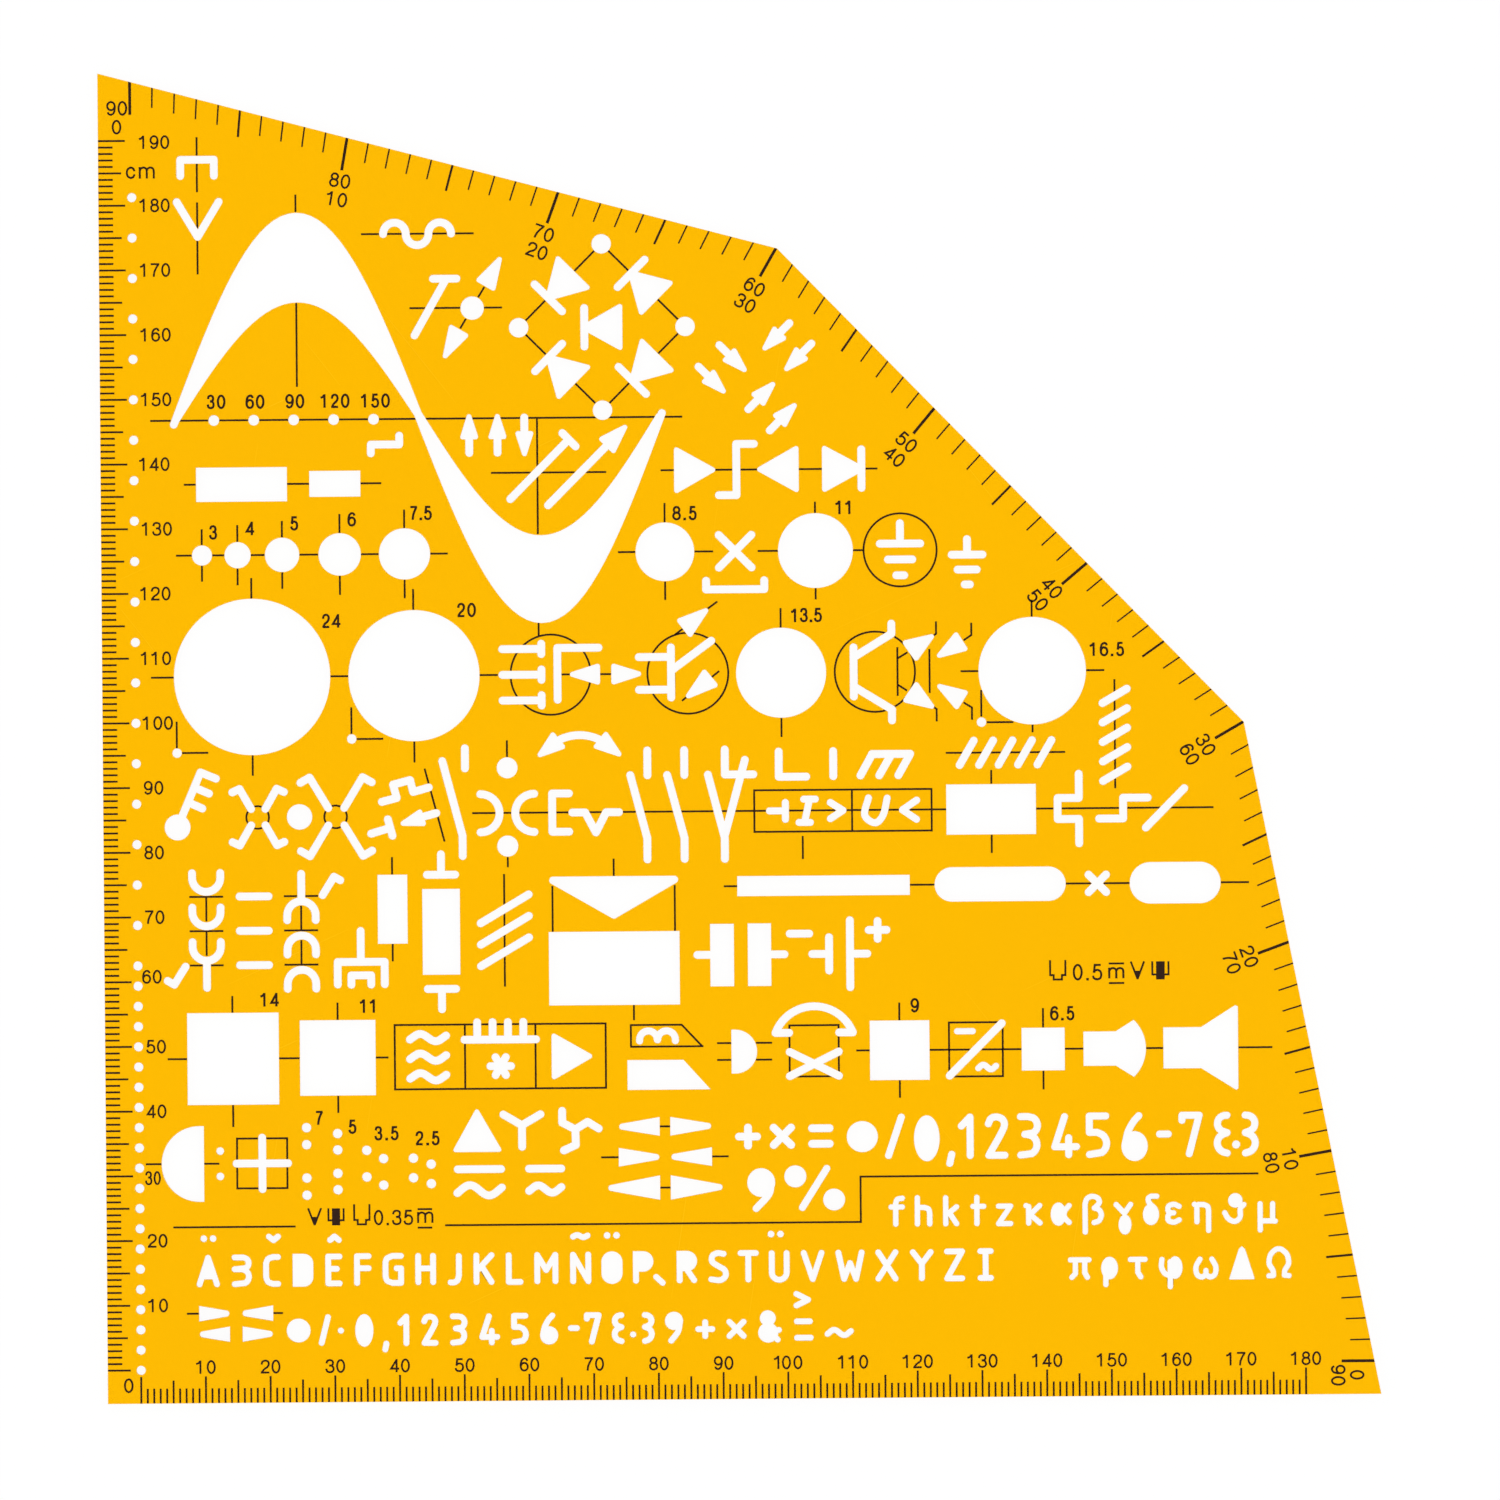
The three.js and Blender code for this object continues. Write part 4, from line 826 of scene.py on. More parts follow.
# An outline with its sides moved outward by a distance: at a corner with the outward normals a and b the
# point moves by that times (a + b) / (1 + a.b).
def grown(outline, by):
    outline = outline if signedArea(outline) > 0 else outline[::-1]
    runs = np.roll(outline, -1, axis=0) - outline
    runs /= np.hypot(*runs.T)[:, None]
    after = np.stack([runs[:, 1], -runs[:, 0]], axis=1)
    before = np.roll(after, 1, axis=0)
    return outline + by * (before + after) / np.maximum(1 + np.sum(before * after, axis=1), 0.3)[:, None]


# The plane cut along all the outlines at once: the points, the triangles, and a grid that says whether a
# triangle (row) lies inside an outline (column). Points within a ten thousandth of a millimetre are one.
def planeCut(outlines):
    outlines = [points if signedArea(points) > 0 else points[::-1] for points in outlines]
    sizes = [len(points) for points in outlines]
    starts = np.cumsum([0, *sizes[:-1]])
    faces = [list(range(start, start + size)) for start, size in zip(starts, sizes)]
    result = delaunay_2d_cdt(np.vstack(outlines).tolist(), [], faces, 0, 1e-4)
    points = np.array([tuple(point) for point in result[0]])
    triangles = np.array(result[2])
    owners = np.repeat(np.arange(len(triangles)), [len(owned) for owned in result[5]])
    inside = np.zeros((len(triangles), len(outlines)), bool)
    inside[owners, np.concatenate([np.array(owned, int) for owned in result[5]])] = True
    return points, triangles, inside


# The directed edges of triangles that no neighbour runs the other way: the border, material on the left.
def borderEdges(triangles):
    edges = np.vstack([triangles[:, [0, 1]], triangles[:, [1, 2]], triangles[:, [2, 0]]])
    key = edges[:, 0].astype(np.int64) << 32 | edges[:, 1]
    reverse = edges[:, 1].astype(np.int64) << 32 | edges[:, 0]
    return edges[~np.isin(key, reverse)]


# The triangles joined edge to edge with the most others. Each takes the least label round it, over and over,
# until no label changes.
def largestPart(triangles):
    edges = np.sort(np.vstack([triangles[:, [0, 1]], triangles[:, [1, 2]], triangles[:, [2, 0]]]), axis=1)
    owners = np.tile(np.arange(len(triangles)), 3)
    order = np.lexsort(edges.T)
    same = np.all(edges[order][1:] == edges[order][:-1], axis=1)
    a, b = owners[order][:-1][same], owners[order][1:][same]
    labels = np.arange(len(triangles))
    while True:
        least = np.minimum(labels[a], labels[b])
        new = labels.copy()
        np.minimum.at(new, labels[a], least)
        np.minimum.at(new, labels[b], least)
        new = new[new]
        new = new[new]
        if np.array_equal(new, labels):
            break
        labels = new
    return triangles[labels == np.bincount(labels).argmax()]


# Only the points in use, with the triangles renumbered to match.
def compact(points, triangles):
    used, renumbered = np.unique(triangles, return_inverse=True)
    return points[used], renumbered.reshape(triangles.shape)


# For each border point a step into the material that moves both its edges inward by one: the edges' inward
# normals a and b give (a + b) / (1 + a.b), held to at most 1.6.
def inwardSteps(points, border):
    runs = points[border[:, 1]] - points[border[:, 0]]
    runs /= np.hypot(*runs.T)[:, None]
    inward = np.stack([-runs[:, 1], runs[:, 0]], axis=1)
    total = np.zeros_like(points)
    np.add.at(total, border[:, 0], inward)
    np.add.at(total, border[:, 1], inward)
    dots = np.maximum(np.sum(total**2, axis=1) / 2, 0.4)
    steps = total / dots[:, None]
    size = np.hypot(*steps.T)
    return steps * np.minimum(1, 1.6 / np.maximum(size, 1e-9))[:, None]


# A slab from triangles in the plane, between two heights in millimetres, with its edges rounded: each ring of
# the rounding lies radius (1 - sin) further in and radius (1 - cos) below the face.
def slab(name, points, triangles, bottom, upper, radius=0.0, steps=0):
    points, triangles = compact(points, triangles)
    border = borderEdges(triangles)
    rim, index = np.unique(border, return_inverse=True)
    index = index.reshape(border.shape)
    inward = inwardSteps(points, border)
    turn = np.linspace(0, np.pi / 2, steps + 1) if steps else np.array([np.pi / 2])
    inset, drop = radius * (1 - np.sin(turn)), radius * (1 - np.cos(turn))
    count, rimCount = len(points), len(rim)
    flat = points + inward * inset[0]

    # the two flat faces, then for each ring of the wall its own points, from the top down
    rings = [(inset[k], upper - drop[k]) for k in range(1, len(turn))]
    rings += [(inset[k], bottom + drop[k]) for k in range(len(turn) - 1, 0, -1)]
    ringPoints = [
        np.column_stack([points[rim] + inward[rim] * step, np.full(rimCount, height)])
        for step, height in rings
    ]
    vertices = np.vstack([
        np.column_stack([flat, np.full(count, upper)]),
        np.column_stack([flat, np.full(count, bottom)]),
        *ringPoints,
    ])
    ladder = [rim, *(2 * count + k * rimCount + np.arange(rimCount) for k in range(len(rings))), rim + count]
    a, b = index.T
    walls = np.vstack([
        np.column_stack([lowerRow[a], lowerRow[b], upperRow[b], upperRow[a]])
        for upperRow, lowerRow in zip(ladder[:-1], ladder[1:])
    ])
    vertices[:, :2] = scaleZero + vertices[:, :2] * millimetre
    vertices[:, 2] = sheetHigh[2] + vertices[:, 2] * millimetre
    faces = np.vstack([triangles, triangles[:, ::-1] + count])
    corners = np.concatenate([faces.ravel(), walls.ravel()])
    totals = np.concatenate([np.full(len(faces), 3), np.full(len(walls), 4)])
    return meshObject(name, vertices, corners, totals, np.arange(len(totals)) >= len(faces))


# An object of the shared frame from whole arrays: the corners of all faces in a row, each face's number of
# corners, and which faces are smooth.
def meshObject(name, vertices, corners, totals, smooth):
    mesh = bpy.data.meshes.new(name)
    mesh.vertices.add(len(vertices))
    mesh.vertices.foreach_set("co", vertices.ravel())
    mesh.loops.add(len(corners))
    mesh.loops.foreach_set("vertex_index", corners)
    mesh.polygons.add(len(totals))
    mesh.polygons.foreach_set("loop_start", np.concatenate([[0], np.cumsum(totals)[:-1]]))
    mesh.polygons.foreach_set("loop_total", totals)
    mesh.update(calc_edges=True)
    mesh.set_sharp_from_angle(angle=np.radians(sheetValues["sharpAngle"]))  # it makes every face smooth
    mesh.polygons.foreach_set("use_smooth", smooth)
    mesh.validate()
    meshInFrame = bpy.data.objects.new(name, mesh)
    bpy.context.scene.collection.objects.link(meshInFrame)
    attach(meshInFrame, "root")
    return meshInFrame


sheetThickness = (sheetHigh[2] - sheetLow[2]) / millimetre
cutOuts = [grown(outline, -sheetValues["inset"]) for outline in cutOuts]
points, triangles, inside = planeCut([plate, *cutOuts])
kept = largestPart(triangles[inside[:, 0] & ~inside[:, 1:].any(axis=1)])
rimRadius, rimSteps = sheetValues["rimRadius"], sheetValues["rimSteps"]
sheet = slab("sheet", points, kept, -sheetThickness, 0, rimRadius, rimSteps)
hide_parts("template_sheet")
print("sheet cut:", len(cutOuts), "outlines,", len(sheet.data.polygons), "faces")

# Ink. Each mark is a thin slab of strokes that starts just inside the top face, left out over the cut-outs.
inkValues = {
    "line": 0.29,  # width of the guide lines
    "sunk": 0.01,  # how far the ink reaches into the sheet
    "raised": 0.02,  # and stands over it
    "clear": 0.05,  # and stops short of every edge, where the rounding starts
}
inkPlate = grown(plate, -inkValues["clear"])
inkHoles = [grown(outline, inkValues["clear"]) for outline in cutOuts]
inkObjects = []


# The outlines whose box meets the box of a mark's strokes.
def near(strokes, outlines):
    allPoints = np.vstack(strokes)
    lowCorner, highCorner = allPoints.min(axis=0), allPoints.max(axis=0)
    return [
        points for points in outlines
        if (points.min(axis=0) < highCorner).all() and (points.max(axis=0) > lowCorner).all()
    ]


# A mark in ink: inside one of its strokes and the plate, outside all the cut-outs.
def printed(name, strokes, *replaced):
    holes = near(strokes, inkHoles)
    points, triangles, inside = planeCut([*strokes, inkPlate, *holes])
    count = len(strokes)
    kept = triangles[inside[:, :count].any(axis=1) & inside[:, count] & ~inside[:, count + 1 :].any(axis=1)]
    mark = slab(name, points, kept, -inkValues["sunk"], inkValues["raised"])
    mark.data.polygons.foreach_set("use_smooth", np.zeros(len(mark.data.polygons), bool))
    if replaced:
        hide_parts(*replaced)
    inkObjects.append(mark)
    return mark


# A line with square ends through points: each side of the path is shifted by half the width.
def line(*points, width=inkValues["line"]):
    path = joinPath(*points)
    runs = np.diff(path, axis=0)
    runs /= np.hypot(*runs.T)[:, None]
    normals = np.stack([-runs[:, 1], runs[:, 0]], axis=1)
    inner = normals[:-1] + normals[1:]
    inner /= 1 + np.sum(normals[:-1] * normals[1:], axis=1)[:, None]
    shift = width / 2 * np.vstack([normals[:1], inner, normals[-1:]])
    return [np.vstack([path - shift, (path + shift)[::-1]])]


# A level line of ink and a plumb one, by their ends.
def level(x0, x1, y):
    return line((x0, y), (x1, y))


def plumb(x, y0, y1):
    return line((x, y0), (x, y1))


# Several pieces of one level or plumb line, given by their ends.
def levels(y, *ends):
    return [outline for x0, x1 in ends for outline in level(x0, x1, y)]


def plumbs(x, *ends):
    return [outline for y0, y1 in ends for outline in plumb(x, y0, y1)]


# A closed ring of ink as two half rings.
def ring(x, y, radius):
    return [*line(arc(x, y, radius, -2, 182)), *line(arc(x, y, radius, 178, 362))]


# The four lines of a rectangle, with square corners.
def frameLines(x0, y0, x1, y1):
    reach = inkValues["line"] / 2
    sides = [level(x0 - reach, x1 + reach, y) for y in (y0, y1)] + [plumb(x, y0, y1) for x in (x0, x1)]
    return [outline for side in sides for outline in side]


print("scales and lines")


# The nodes of the frame that carry a mark's name, with or without a number after it.
def nodesOf(name):
    rests = {node: node[len(name) :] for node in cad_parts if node.startswith(name)}
    return [node for node, rest in rests.items() if rest == "" or rest[1:].isdigit()]


marks = {
    "aerial_line": plumbs(10.1, (187.65, 190.5), (182.0, 186.4), (169.3, 180.4)),
    "sine_height_line": plumbs(25.3, (178.8, 181.5), (151.8, 164.75)),
    "sine_base_line": level(2.6, 84.8, sineValues["base"]),
    "sine_depth_line": plumbs(62.35, (128.75, 146.7), (113.0, 115.0)),
    "bridge_line": [
        outline
        for a, b in (
            ((72.49, 173.52), (59.63, 160.66)), ((59.63, 160.66), (72.49, 147.81)),
            ((72.49, 147.81), (85.35, 160.66)), ((85.35, 160.66), (72.49, 173.52)),
        )
        for outline in line(a, b)
    ],
    "trigger_line": levels(138.25, (55.2, 73.0)),
    "earth_ring": ring(118.3, 125.85, 5.65),
    "mosfet_ring": [*ring(64.15, 107.0, 6.2), *levels(107.02, (65.8, 67.1), (71.8, 73.5))],
    "transistor_ring": ring(85.35, 107.05, 6.25),
    "phototransistor_ring": [*ring(114.25, 107.05, 6.2), *plumb(117.75, 103.3, 110.8)],
    "lens_line": plumb(122.7, 103.7, 110.5),
    "relay_frame": [*frameLines(95.45, 82.45, 122.85, 88.87), *plumb(110.55, 82.45, 88.87)],
    "signal_line": levels(85.7, (51.85, 95.325), (95.575, 110.425), (110.675, 122.725), (122.975, 166.4)),
    "motor_line": [*plumb(64.15, 67.25, 74.35), *plumb(83.05, 67.25, 74.35)],
    "phase_line": plumb(56.7, 58.85, 76.25),
    "cross_frame": frameLines(15.1, 28.0, 22.85, 35.7),
    "filter_frame": [
        *frameLines(39.6, 43.1, 72.2, 53.05), *plumb(50.45, 43.1, 53.05), *plumb(61.35, 43.1, 53.05),
    ],
    "telephone_frame": frameLines(100.6, 44.6, 108.2, 52.5),
    "rectifier_frame": frameLines(125.25, 44.4, 133.55, 52.75),
    "horn_line": level(110.9, 175.2, 48.55),
    "top_text_line": level(5.15, 24.05, 22.05),
    "greek_border": line((47.15, 22.05), (111.4, 22.05), (111.4, 29.05), (172.9, 29.05)),
}
for name, strokes in marks.items():
    printed("ink_" + name, strokes, *nodesOf(name))

shortLines = {
    "top_guides": [
        *levels(175.3, (35.4, 52.8)), *levels(163.8, (42.8, 57.1)), *line((53.4, 165.4), (54.4, 167.0)),
        *line((51.5, 162.1), (50.6, 160.6)),
    ],
    "middle_guides": [
        *levels(136.8, (7.7, 38.2)), *levels(138.45, (81.4, 114.9)),
        *levels(125.85, (6.4, 48.4), (74.7, 89.4), (96.3, 112.7)),
    ],
    "circle_guides": [
        *plumbs(10.4, (127.4, 129.9), (121.8, 124.3)), *plumbs(15.9, (127.9, 130.5), (121.2, 123.8)),
        *plumbs(22.8, (128.55, 131.1), (120.6, 123.15)), *plumbs(31.7, (129.15, 132.1), (119.6, 122.55)),
        *plumbs(41.7, (129.8, 132.7), (119.0, 121.9)), *plumbs(81.95, (130.4, 133.4), (118.4, 121.25)),
        *plumbs(105.2, (131.65, 133.4), (118.3, 120.05)), *plumbs(18.0, (119.1, 122.3), (91.75, 94.9)),
        *plumbs(43.0, (117.15, 120.4), (93.6, 96.9)), *plumbs(99.75, (114.0, 117.0), (97.1, 100.0)),
        *plumbs(138.55, (115.35, 118.0), (97.5, 98.7)),
        *levels(107.02, (2.4, 56.0), (127.5, 130.25), (146.9, 149.7)),
    ],
    "corner_marks": [
        *plumb(6.3, 96.1, 100.2), *level(7.1, 11.15, 95.35),
        *plumb(33.3, 98.1, 102.2), *level(34.1, 38.2, 97.3),
        *plumb(130.65, 100.0, 104.1), *level(131.5, 135.6, 99.1),
    ],
    "transistor_guides": [
        *line((88.5, 117.0), (90.0, 118.1)), *line((83.45, 113.05), (84.6, 113.9)),
        *line((89.0, 106.4), (90.2, 107.35)), *line((84.4, 102.8), (85.1, 103.35)),
        *line((117.8, 109.1), (119.3, 110.0)), *line((117.8, 105.0), (119.2, 104.1)),
        *line((123.75, 114.75), (123.75, 112.85), (123.2, 112.45)),
        *line((129.2, 114.5), (129.2, 112.6), (128.0, 111.8)),
        *line((123.75, 99.3), (123.75, 101.2), (123.2, 101.6)),
        *line((129.2, 99.5), (129.2, 101.4), (127.9, 102.2)),
    ],
    "right_guides": [
        *plumb(151.25, 88.75, 105.6), *level(125.1, 143.55, 94.42),
        *plumbs(132.1, (89.6, 91.7), (78.9, 81.7)),
        *level(90.65, 171.8, 74.08), *plumb(102.9, 78.2, 81.75),
    ],
    "lamp_rings": [*ring(18.7, 85.3, 1.75), *ring(30.75, 85.3, 1.75)],
    "coil_guides": [
        *levels(73.1, (8.05, 13.25), (22.65, 27.9)), *levels(67.8, (8.05, 13.25), (22.65, 27.9)),
        *levels(62.5, (8.05, 13.25), (22.65, 27.9)), *plumbs(10.65, (69.3, 73.1), (64.0, 67.8)),
        *plumbs(25.3, (67.8, 71.6), (62.5, 66.3)),
    ],
    "switch_guides": [
        *line((44.55, 92.65), (47.55, 81.35)), *plumbs(39.4, (76.3, 79.0), (62.9, 65.6)),
        *plumbs(57.3, (94.35, 96.9), (77.3, 78.85)), *plumb(73.65, 75.8, 78.5),
    ],
    "building_guides": [
        *plumbs(14.55, (55.15, 57.75), (37.5, 40.9)), *level(4.5, 38.6, 48.05),
        *plumbs(30.8, (53.9, 56.6), (39.55, 42.2)), *levels(31.85, (1.0, 3.4), (10.0, 12.35)),
        *plumb(76.6, 53.5, 55.85), *line((76.1, 49.4), (76.1, 52.75), (83.95, 52.75), (87.1, 49.4)),
        *level(76.0, 87.3, 49.4),
        *levels(49.85, (89.4, 91.6), (95.4, 97.9)), *levels(47.25, (89.4, 91.6), (95.4, 97.9)),
        *plumbs(117.6, (53.15, 55.9), (41.2, 43.9)), *plumbs(139.8, (51.85, 54.85), (42.3, 45.2)),
    ],
    "plug_guides": [
        *level(80.45, 82.05, 37.06), *level(80.45, 82.05, 27.6),
        *levels(32.35, (71.35, 74.05), (88.5, 91.05)),
        *levels(8.7, (7.15, 9.0), (20.5, 22.0)),
    ],
}
for name, strokes in shortLines.items():
    printed("ink_" + name, strokes)

scaleValues = {
    "bottomLast": 180,
    "leftLast": 190,
    "bottomEnds": (-1.0, -1.6, -2.85),  # inner ends of the tens, the fives and the others
    "leftEnds": (-1.0, -1.6, -2.9),
    "leftOdd": {0: -1.6, 5: -2.0, 10: -1.6, 20: -1.15},  # graduations that end elsewhere
    "beyond": 0.5,  # how far a graduation is drawn past the sheet's edge before it is cut there
}


# The graduations of a straight scale, as place and inner end: one each millimetre, longer at fives and tens.
def graduations(last, ends, odd):
    tens, fives, ones = ends
    usual = {at: tens if at % 10 == 0 else fives if at % 5 == 0 else ones for at in range(last + 1)}
    return {**usual, **odd}.items()


outer = -sheetValues["edgeMargin"] - scaleValues["beyond"]
bottomTicks = graduations(scaleValues["bottomLast"], scaleValues["bottomEnds"], {})
leftTicks = graduations(scaleValues["leftLast"], scaleValues["leftEnds"], scaleValues["leftOdd"])
bottomStrokes = [outline for at, end in bottomTicks for outline in plumb(at, outer, end)]
leftStrokes = [outline for at, end in leftTicks for outline in level(outer, end, at)]
printed("ink_scale_bottom", bottomStrokes, "bottom_scale")
printed("ink_scale_left", leftStrokes, "left_scale")


angleValues = {
    "middle": (-0.18, -0.02),  # the point that the degrees are drawn from
    "reach": (5.1, 4.15, 3.13),  # length and width of every tenth, fifth and other graduation
    "width": (0.44, 0.34, 0.23),
}


# The distance from the angle scale's middle along a ray to the line through two corners of the sheet, where
# middle + distance * heading = start + share * (end - start).
def edgeDistance(degrees, start, end):
    run = end - start
    distance, _ = np.linalg.solve(np.array([heading(degrees), -run]).T, start - angleValues["middle"])
    return distance


# A graduation lies on its ray, from its reach inside the sheet's edge to a little outside it.
def angleTick(degrees, start, end):
    rank = 0 if degrees % 10 == 0 else 1 if degrees % 5 == 0 else 2
    far = edgeDistance(degrees, start, end)
    reach, width = angleValues["reach"][rank], angleValues["width"][rank]
    ends = [heading(degrees) * r + angleValues["middle"] for r in (far - reach, far + scaleValues["beyond"])]
    return line(*ends, width=width)


for name, node, span, corner in (
    ("ink_scale_0_to_29", "lower_angle_scale", range(0, 30), 1),
    ("ink_scale_30_to_60", "middle_angle_scale", range(30, 61), 2),
    ("ink_scale_61_to_90", "upper_angle_scale", range(61, 91), 3),
):
    ticks = [angleTick(degrees, plate[corner], plate[corner + 1]) for degrees in span]
    printed(name, [outline for tick in ticks for outline in tick], node)


# Printed figures and letters. Each is a list of paths in a box of width 1 and height 1, which the strokes'
# middles fill.
figureWidths = {"m": 1.7}  # of signs that are wider than a figure


# Part of an ellipse, centre + heading(angle) * (half width, half height).
def ovalPath(x, y, halfWidth, halfHeight, start, end):
    return np.array([x, y]) + heading(np.linspace(start, end, 13)) * (halfWidth, halfHeight)


# A closed ellipse as two paths that overlap a little.
def loop(x, y, halfWidth, halfHeight):
    return [ovalPath(x, y, halfWidth, halfHeight, start, start + 184) for start in (-92, 88)]


sixPaths = [
    bend((0.93, 0.8), (0.82, 0.94), (0.53, 1.0), (0.18, 0.87), (0.02, 0.56), (0.015, 0.3)),
    *loop(0.51, 0.32, 0.49, 0.32),
]
figurePaths = {
    "0": loop(0.5, 0.5, 0.5, 0.5),
    "1": [bend((-0.13, 0.77), (0.18, 0.82), (0.45, 1.0)), joinPath((0.473, 1.05), (0.473, -0.05))],
    "2": [
        bend((-0.03, 0.68), (0.1, 0.91), (0.48, 1.0), (0.87, 0.92), (0.98, 0.7), (0.78, 0.47), (0.3, 0.26),
             (-0.02, 0)),
        joinPath((-0.14, 0.01), (1.06, 0.01)),
    ],
    "3": [
        bend((0.0, 0.74), (0.14, 0.94), (0.48, 1.0), (0.82, 0.93), (0.92, 0.75), (0.78, 0.58), (0.38, 0.54)),
        bend((0.38, 0.54), (0.8, 0.5), (1.0, 0.29), (0.86, 0.07), (0.48, 0), (0.1, 0.07), (-0.05, 0.29)),
    ],
    "4": [joinPath((1.12, 0.25), (-0.02, 0.25), (0.76, 0.98)), joinPath((0.76, 1.05), (0.76, -0.05))],
    "5": [
        joinPath((0.94, 0.99), (0.19, 0.99), (0.07, 0.45)),
        bend((0.05, 0.46), (0.27, 0.61), (0.55, 0.64), (0.88, 0.55), (1.0, 0.33), (0.87, 0.09), (0.48, 0),
             (0.1, 0.07), (-0.05, 0.25)),
    ],
    "6": sixPaths,
    "7": [joinPath((-0.1, 0.99), (1.08, 0.99)), bend((0.98, 0.99), (0.64, 0.66), (0.4, 0.33), (0.3, -0.05))],
    "8": [*loop(0.5, 0.765, 0.42, 0.235), *loop(0.5, 0.275, 0.5, 0.275)],
    "9": [np.array([1.0, 1.0]) - path for path in sixPaths],
    "c": [
        bend((0.97, 0.66), (0.8, 0.91), (0.48, 1.0), (0.13, 0.84), (0, 0.5), (0.13, 0.15), (0.48, 0),
             (0.8, 0.09), (0.98, 0.35)),
    ],
    "m": [
        joinPath((0, 1.05), (0, -0.07)),
        bend((0, 0.69), (0.14, 0.9), (0.44, 1.0), (0.75, 0.9), (0.85, 0.65), (0.85, -0.07)),
        bend((0.85, 0.69), (0.99, 0.9), (1.29, 1.0), (1.6, 0.9), (1.7, 0.65), (1.7, -0.07)),
    ],
}

# The styles of writing: outer height, outer width of a figure, spacing, width of the strokes, the share of
# the width that narrow signs have, and the room of the signs whose spacing differs. A comma is a close full
# stop.
narrowSigns = "2357"
scaleStyle = {"height": 2.15, "width": 1.39, "advance": 1.64, "pen": 0.29, "slim": 1.0, "rooms": {}}
angleStyle = {"height": 2.27, "width": 1.48, "advance": 1.745, "pen": 0.3, "slim": 1.0, "rooms": {}}
slimStyle = {"height": 2.15, "width": 1.1, "advance": 1.3, "pen": 0.28, "slim": 1.0, "rooms": {}}
sizeStyle = {
    "height": 2.24, "width": 1.35, "advance": 1.6, "pen": 0.34, "slim": 0.86,
    "rooms": {".": 0.9, ",": 0.58, "1": 1.53},
}
letterStyle = {"height": 1.89, "width": 1.54, "advance": 2.0, "pen": 0.31, "slim": 1.0, "rooms": {}}
finePen = {"height": 2.39, "width": 1.45, "advance": 1.79, "pen": 0.3, "slim": 1.0, "rooms": {".": 1.04}}
broadPen = {"height": 2.57, "width": 1.54, "advance": 1.9, "pen": 0.32, "slim": 1.0, "rooms": {".": 1.12}}


# The strokes of a word whose middle is at (x, y), turned by some degrees: each path point (u, v) goes to
# start + (u * width, v * height) of the box that the strokes' middles may fill.
def writing(word, x, y, style, degrees=0):
    pen = style["pen"]
    width, height = style["width"] - pen, style["height"] - pen
    cells = [style["rooms"].get(sign, style["advance"]) for sign in word]
    starts = np.cumsum([0, *cells[:-1]]) - sum(cells) / 2
    strokes = []
    for sign, start, cell in zip(word, starts, cells):
        if sign in ".,":
            side, middle, foot = 0.6 * pen, start + cell / 2, -(height + pen) / 2
            strokes += box(middle - side, foot, middle + side, foot + 2 * side)
            continue
        signWidth = width * (style["slim"] if sign in narrowSigns else 1)
        left = start + (cell - signWidth * figureWidths.get(sign, 1)) / 2
        for path in figurePaths[sign]:
            strokes += line(path * (signWidth, height) + (left, -height / 2), width=pen)
    return placed(x, y, degrees, strokes)


# Writing moved so that the least x and y of its outlines are the given ones.
def writingFrom(word, left, bottom, style):
    strokes = writing(word, 0, 0, style)
    return [points + (left, bottom) - np.vstack(strokes).min(axis=0) for points in strokes]


# The same with the right outer edge given in place of the left one.
def writingUpTo(word, right, bottom, style):
    strokes = writing(word, 0, 0, style)
    allPoints = np.vstack(strokes)
    return [points + (right - allPoints[:, 0].max(), bottom - allPoints[:, 1].min()) for points in strokes]


bottomNumbers = [writing(str(at), at + 0.02, 0.43, scaleStyle) for at in range(10, 181, 10) if at != 100]
bottomNumbers += [
    writingFrom("1", 97.78, -0.57, scaleStyle),
    writingFrom("00", 99.03, -0.64, {**scaleStyle, "advance": 1.77}),
    writing("0", -1.93, -2.35, angleStyle),
]
printed("ink_numbers_bottom", [outline for word in bottomNumbers for outline in word])

# The left numbers' right edges, and the bottoms of those that don't stand a little under their graduation.
leftNumberEnds = {**dict.fromkeys(range(10, 91, 10), 4.24), **dict.fromkeys(range(100, 191, 10), 5.87)}
leftNumberEnds |= {60: 3.67, 70: 4.17, 80: 4.17, 90: 4.17}
leftNumberEnds |= {100: 5.72, 110: 5.52, 120: 5.52, 130: 5.82, 140: 5.52}
leftBottoms = {30: 28.63, 60: 59.74, 190: 188.69}
leftNumbers = [
    writingUpTo(str(at), end, leftBottoms.get(at, at - 1.06), scaleStyle)
    for at, end in leftNumberEnds.items() if at != 30
]
leftNumbers += [
    writingFrom("30", 0.84, leftBottoms[30], slimStyle), writingFrom("c", -0.87, 184.13, letterStyle),
    writingFrom("m", 1.13, 184.17, {**letterStyle, "width": 1.58}),
]
printed("ink_numbers_left", [outline for word in leftNumbers for outline in word])

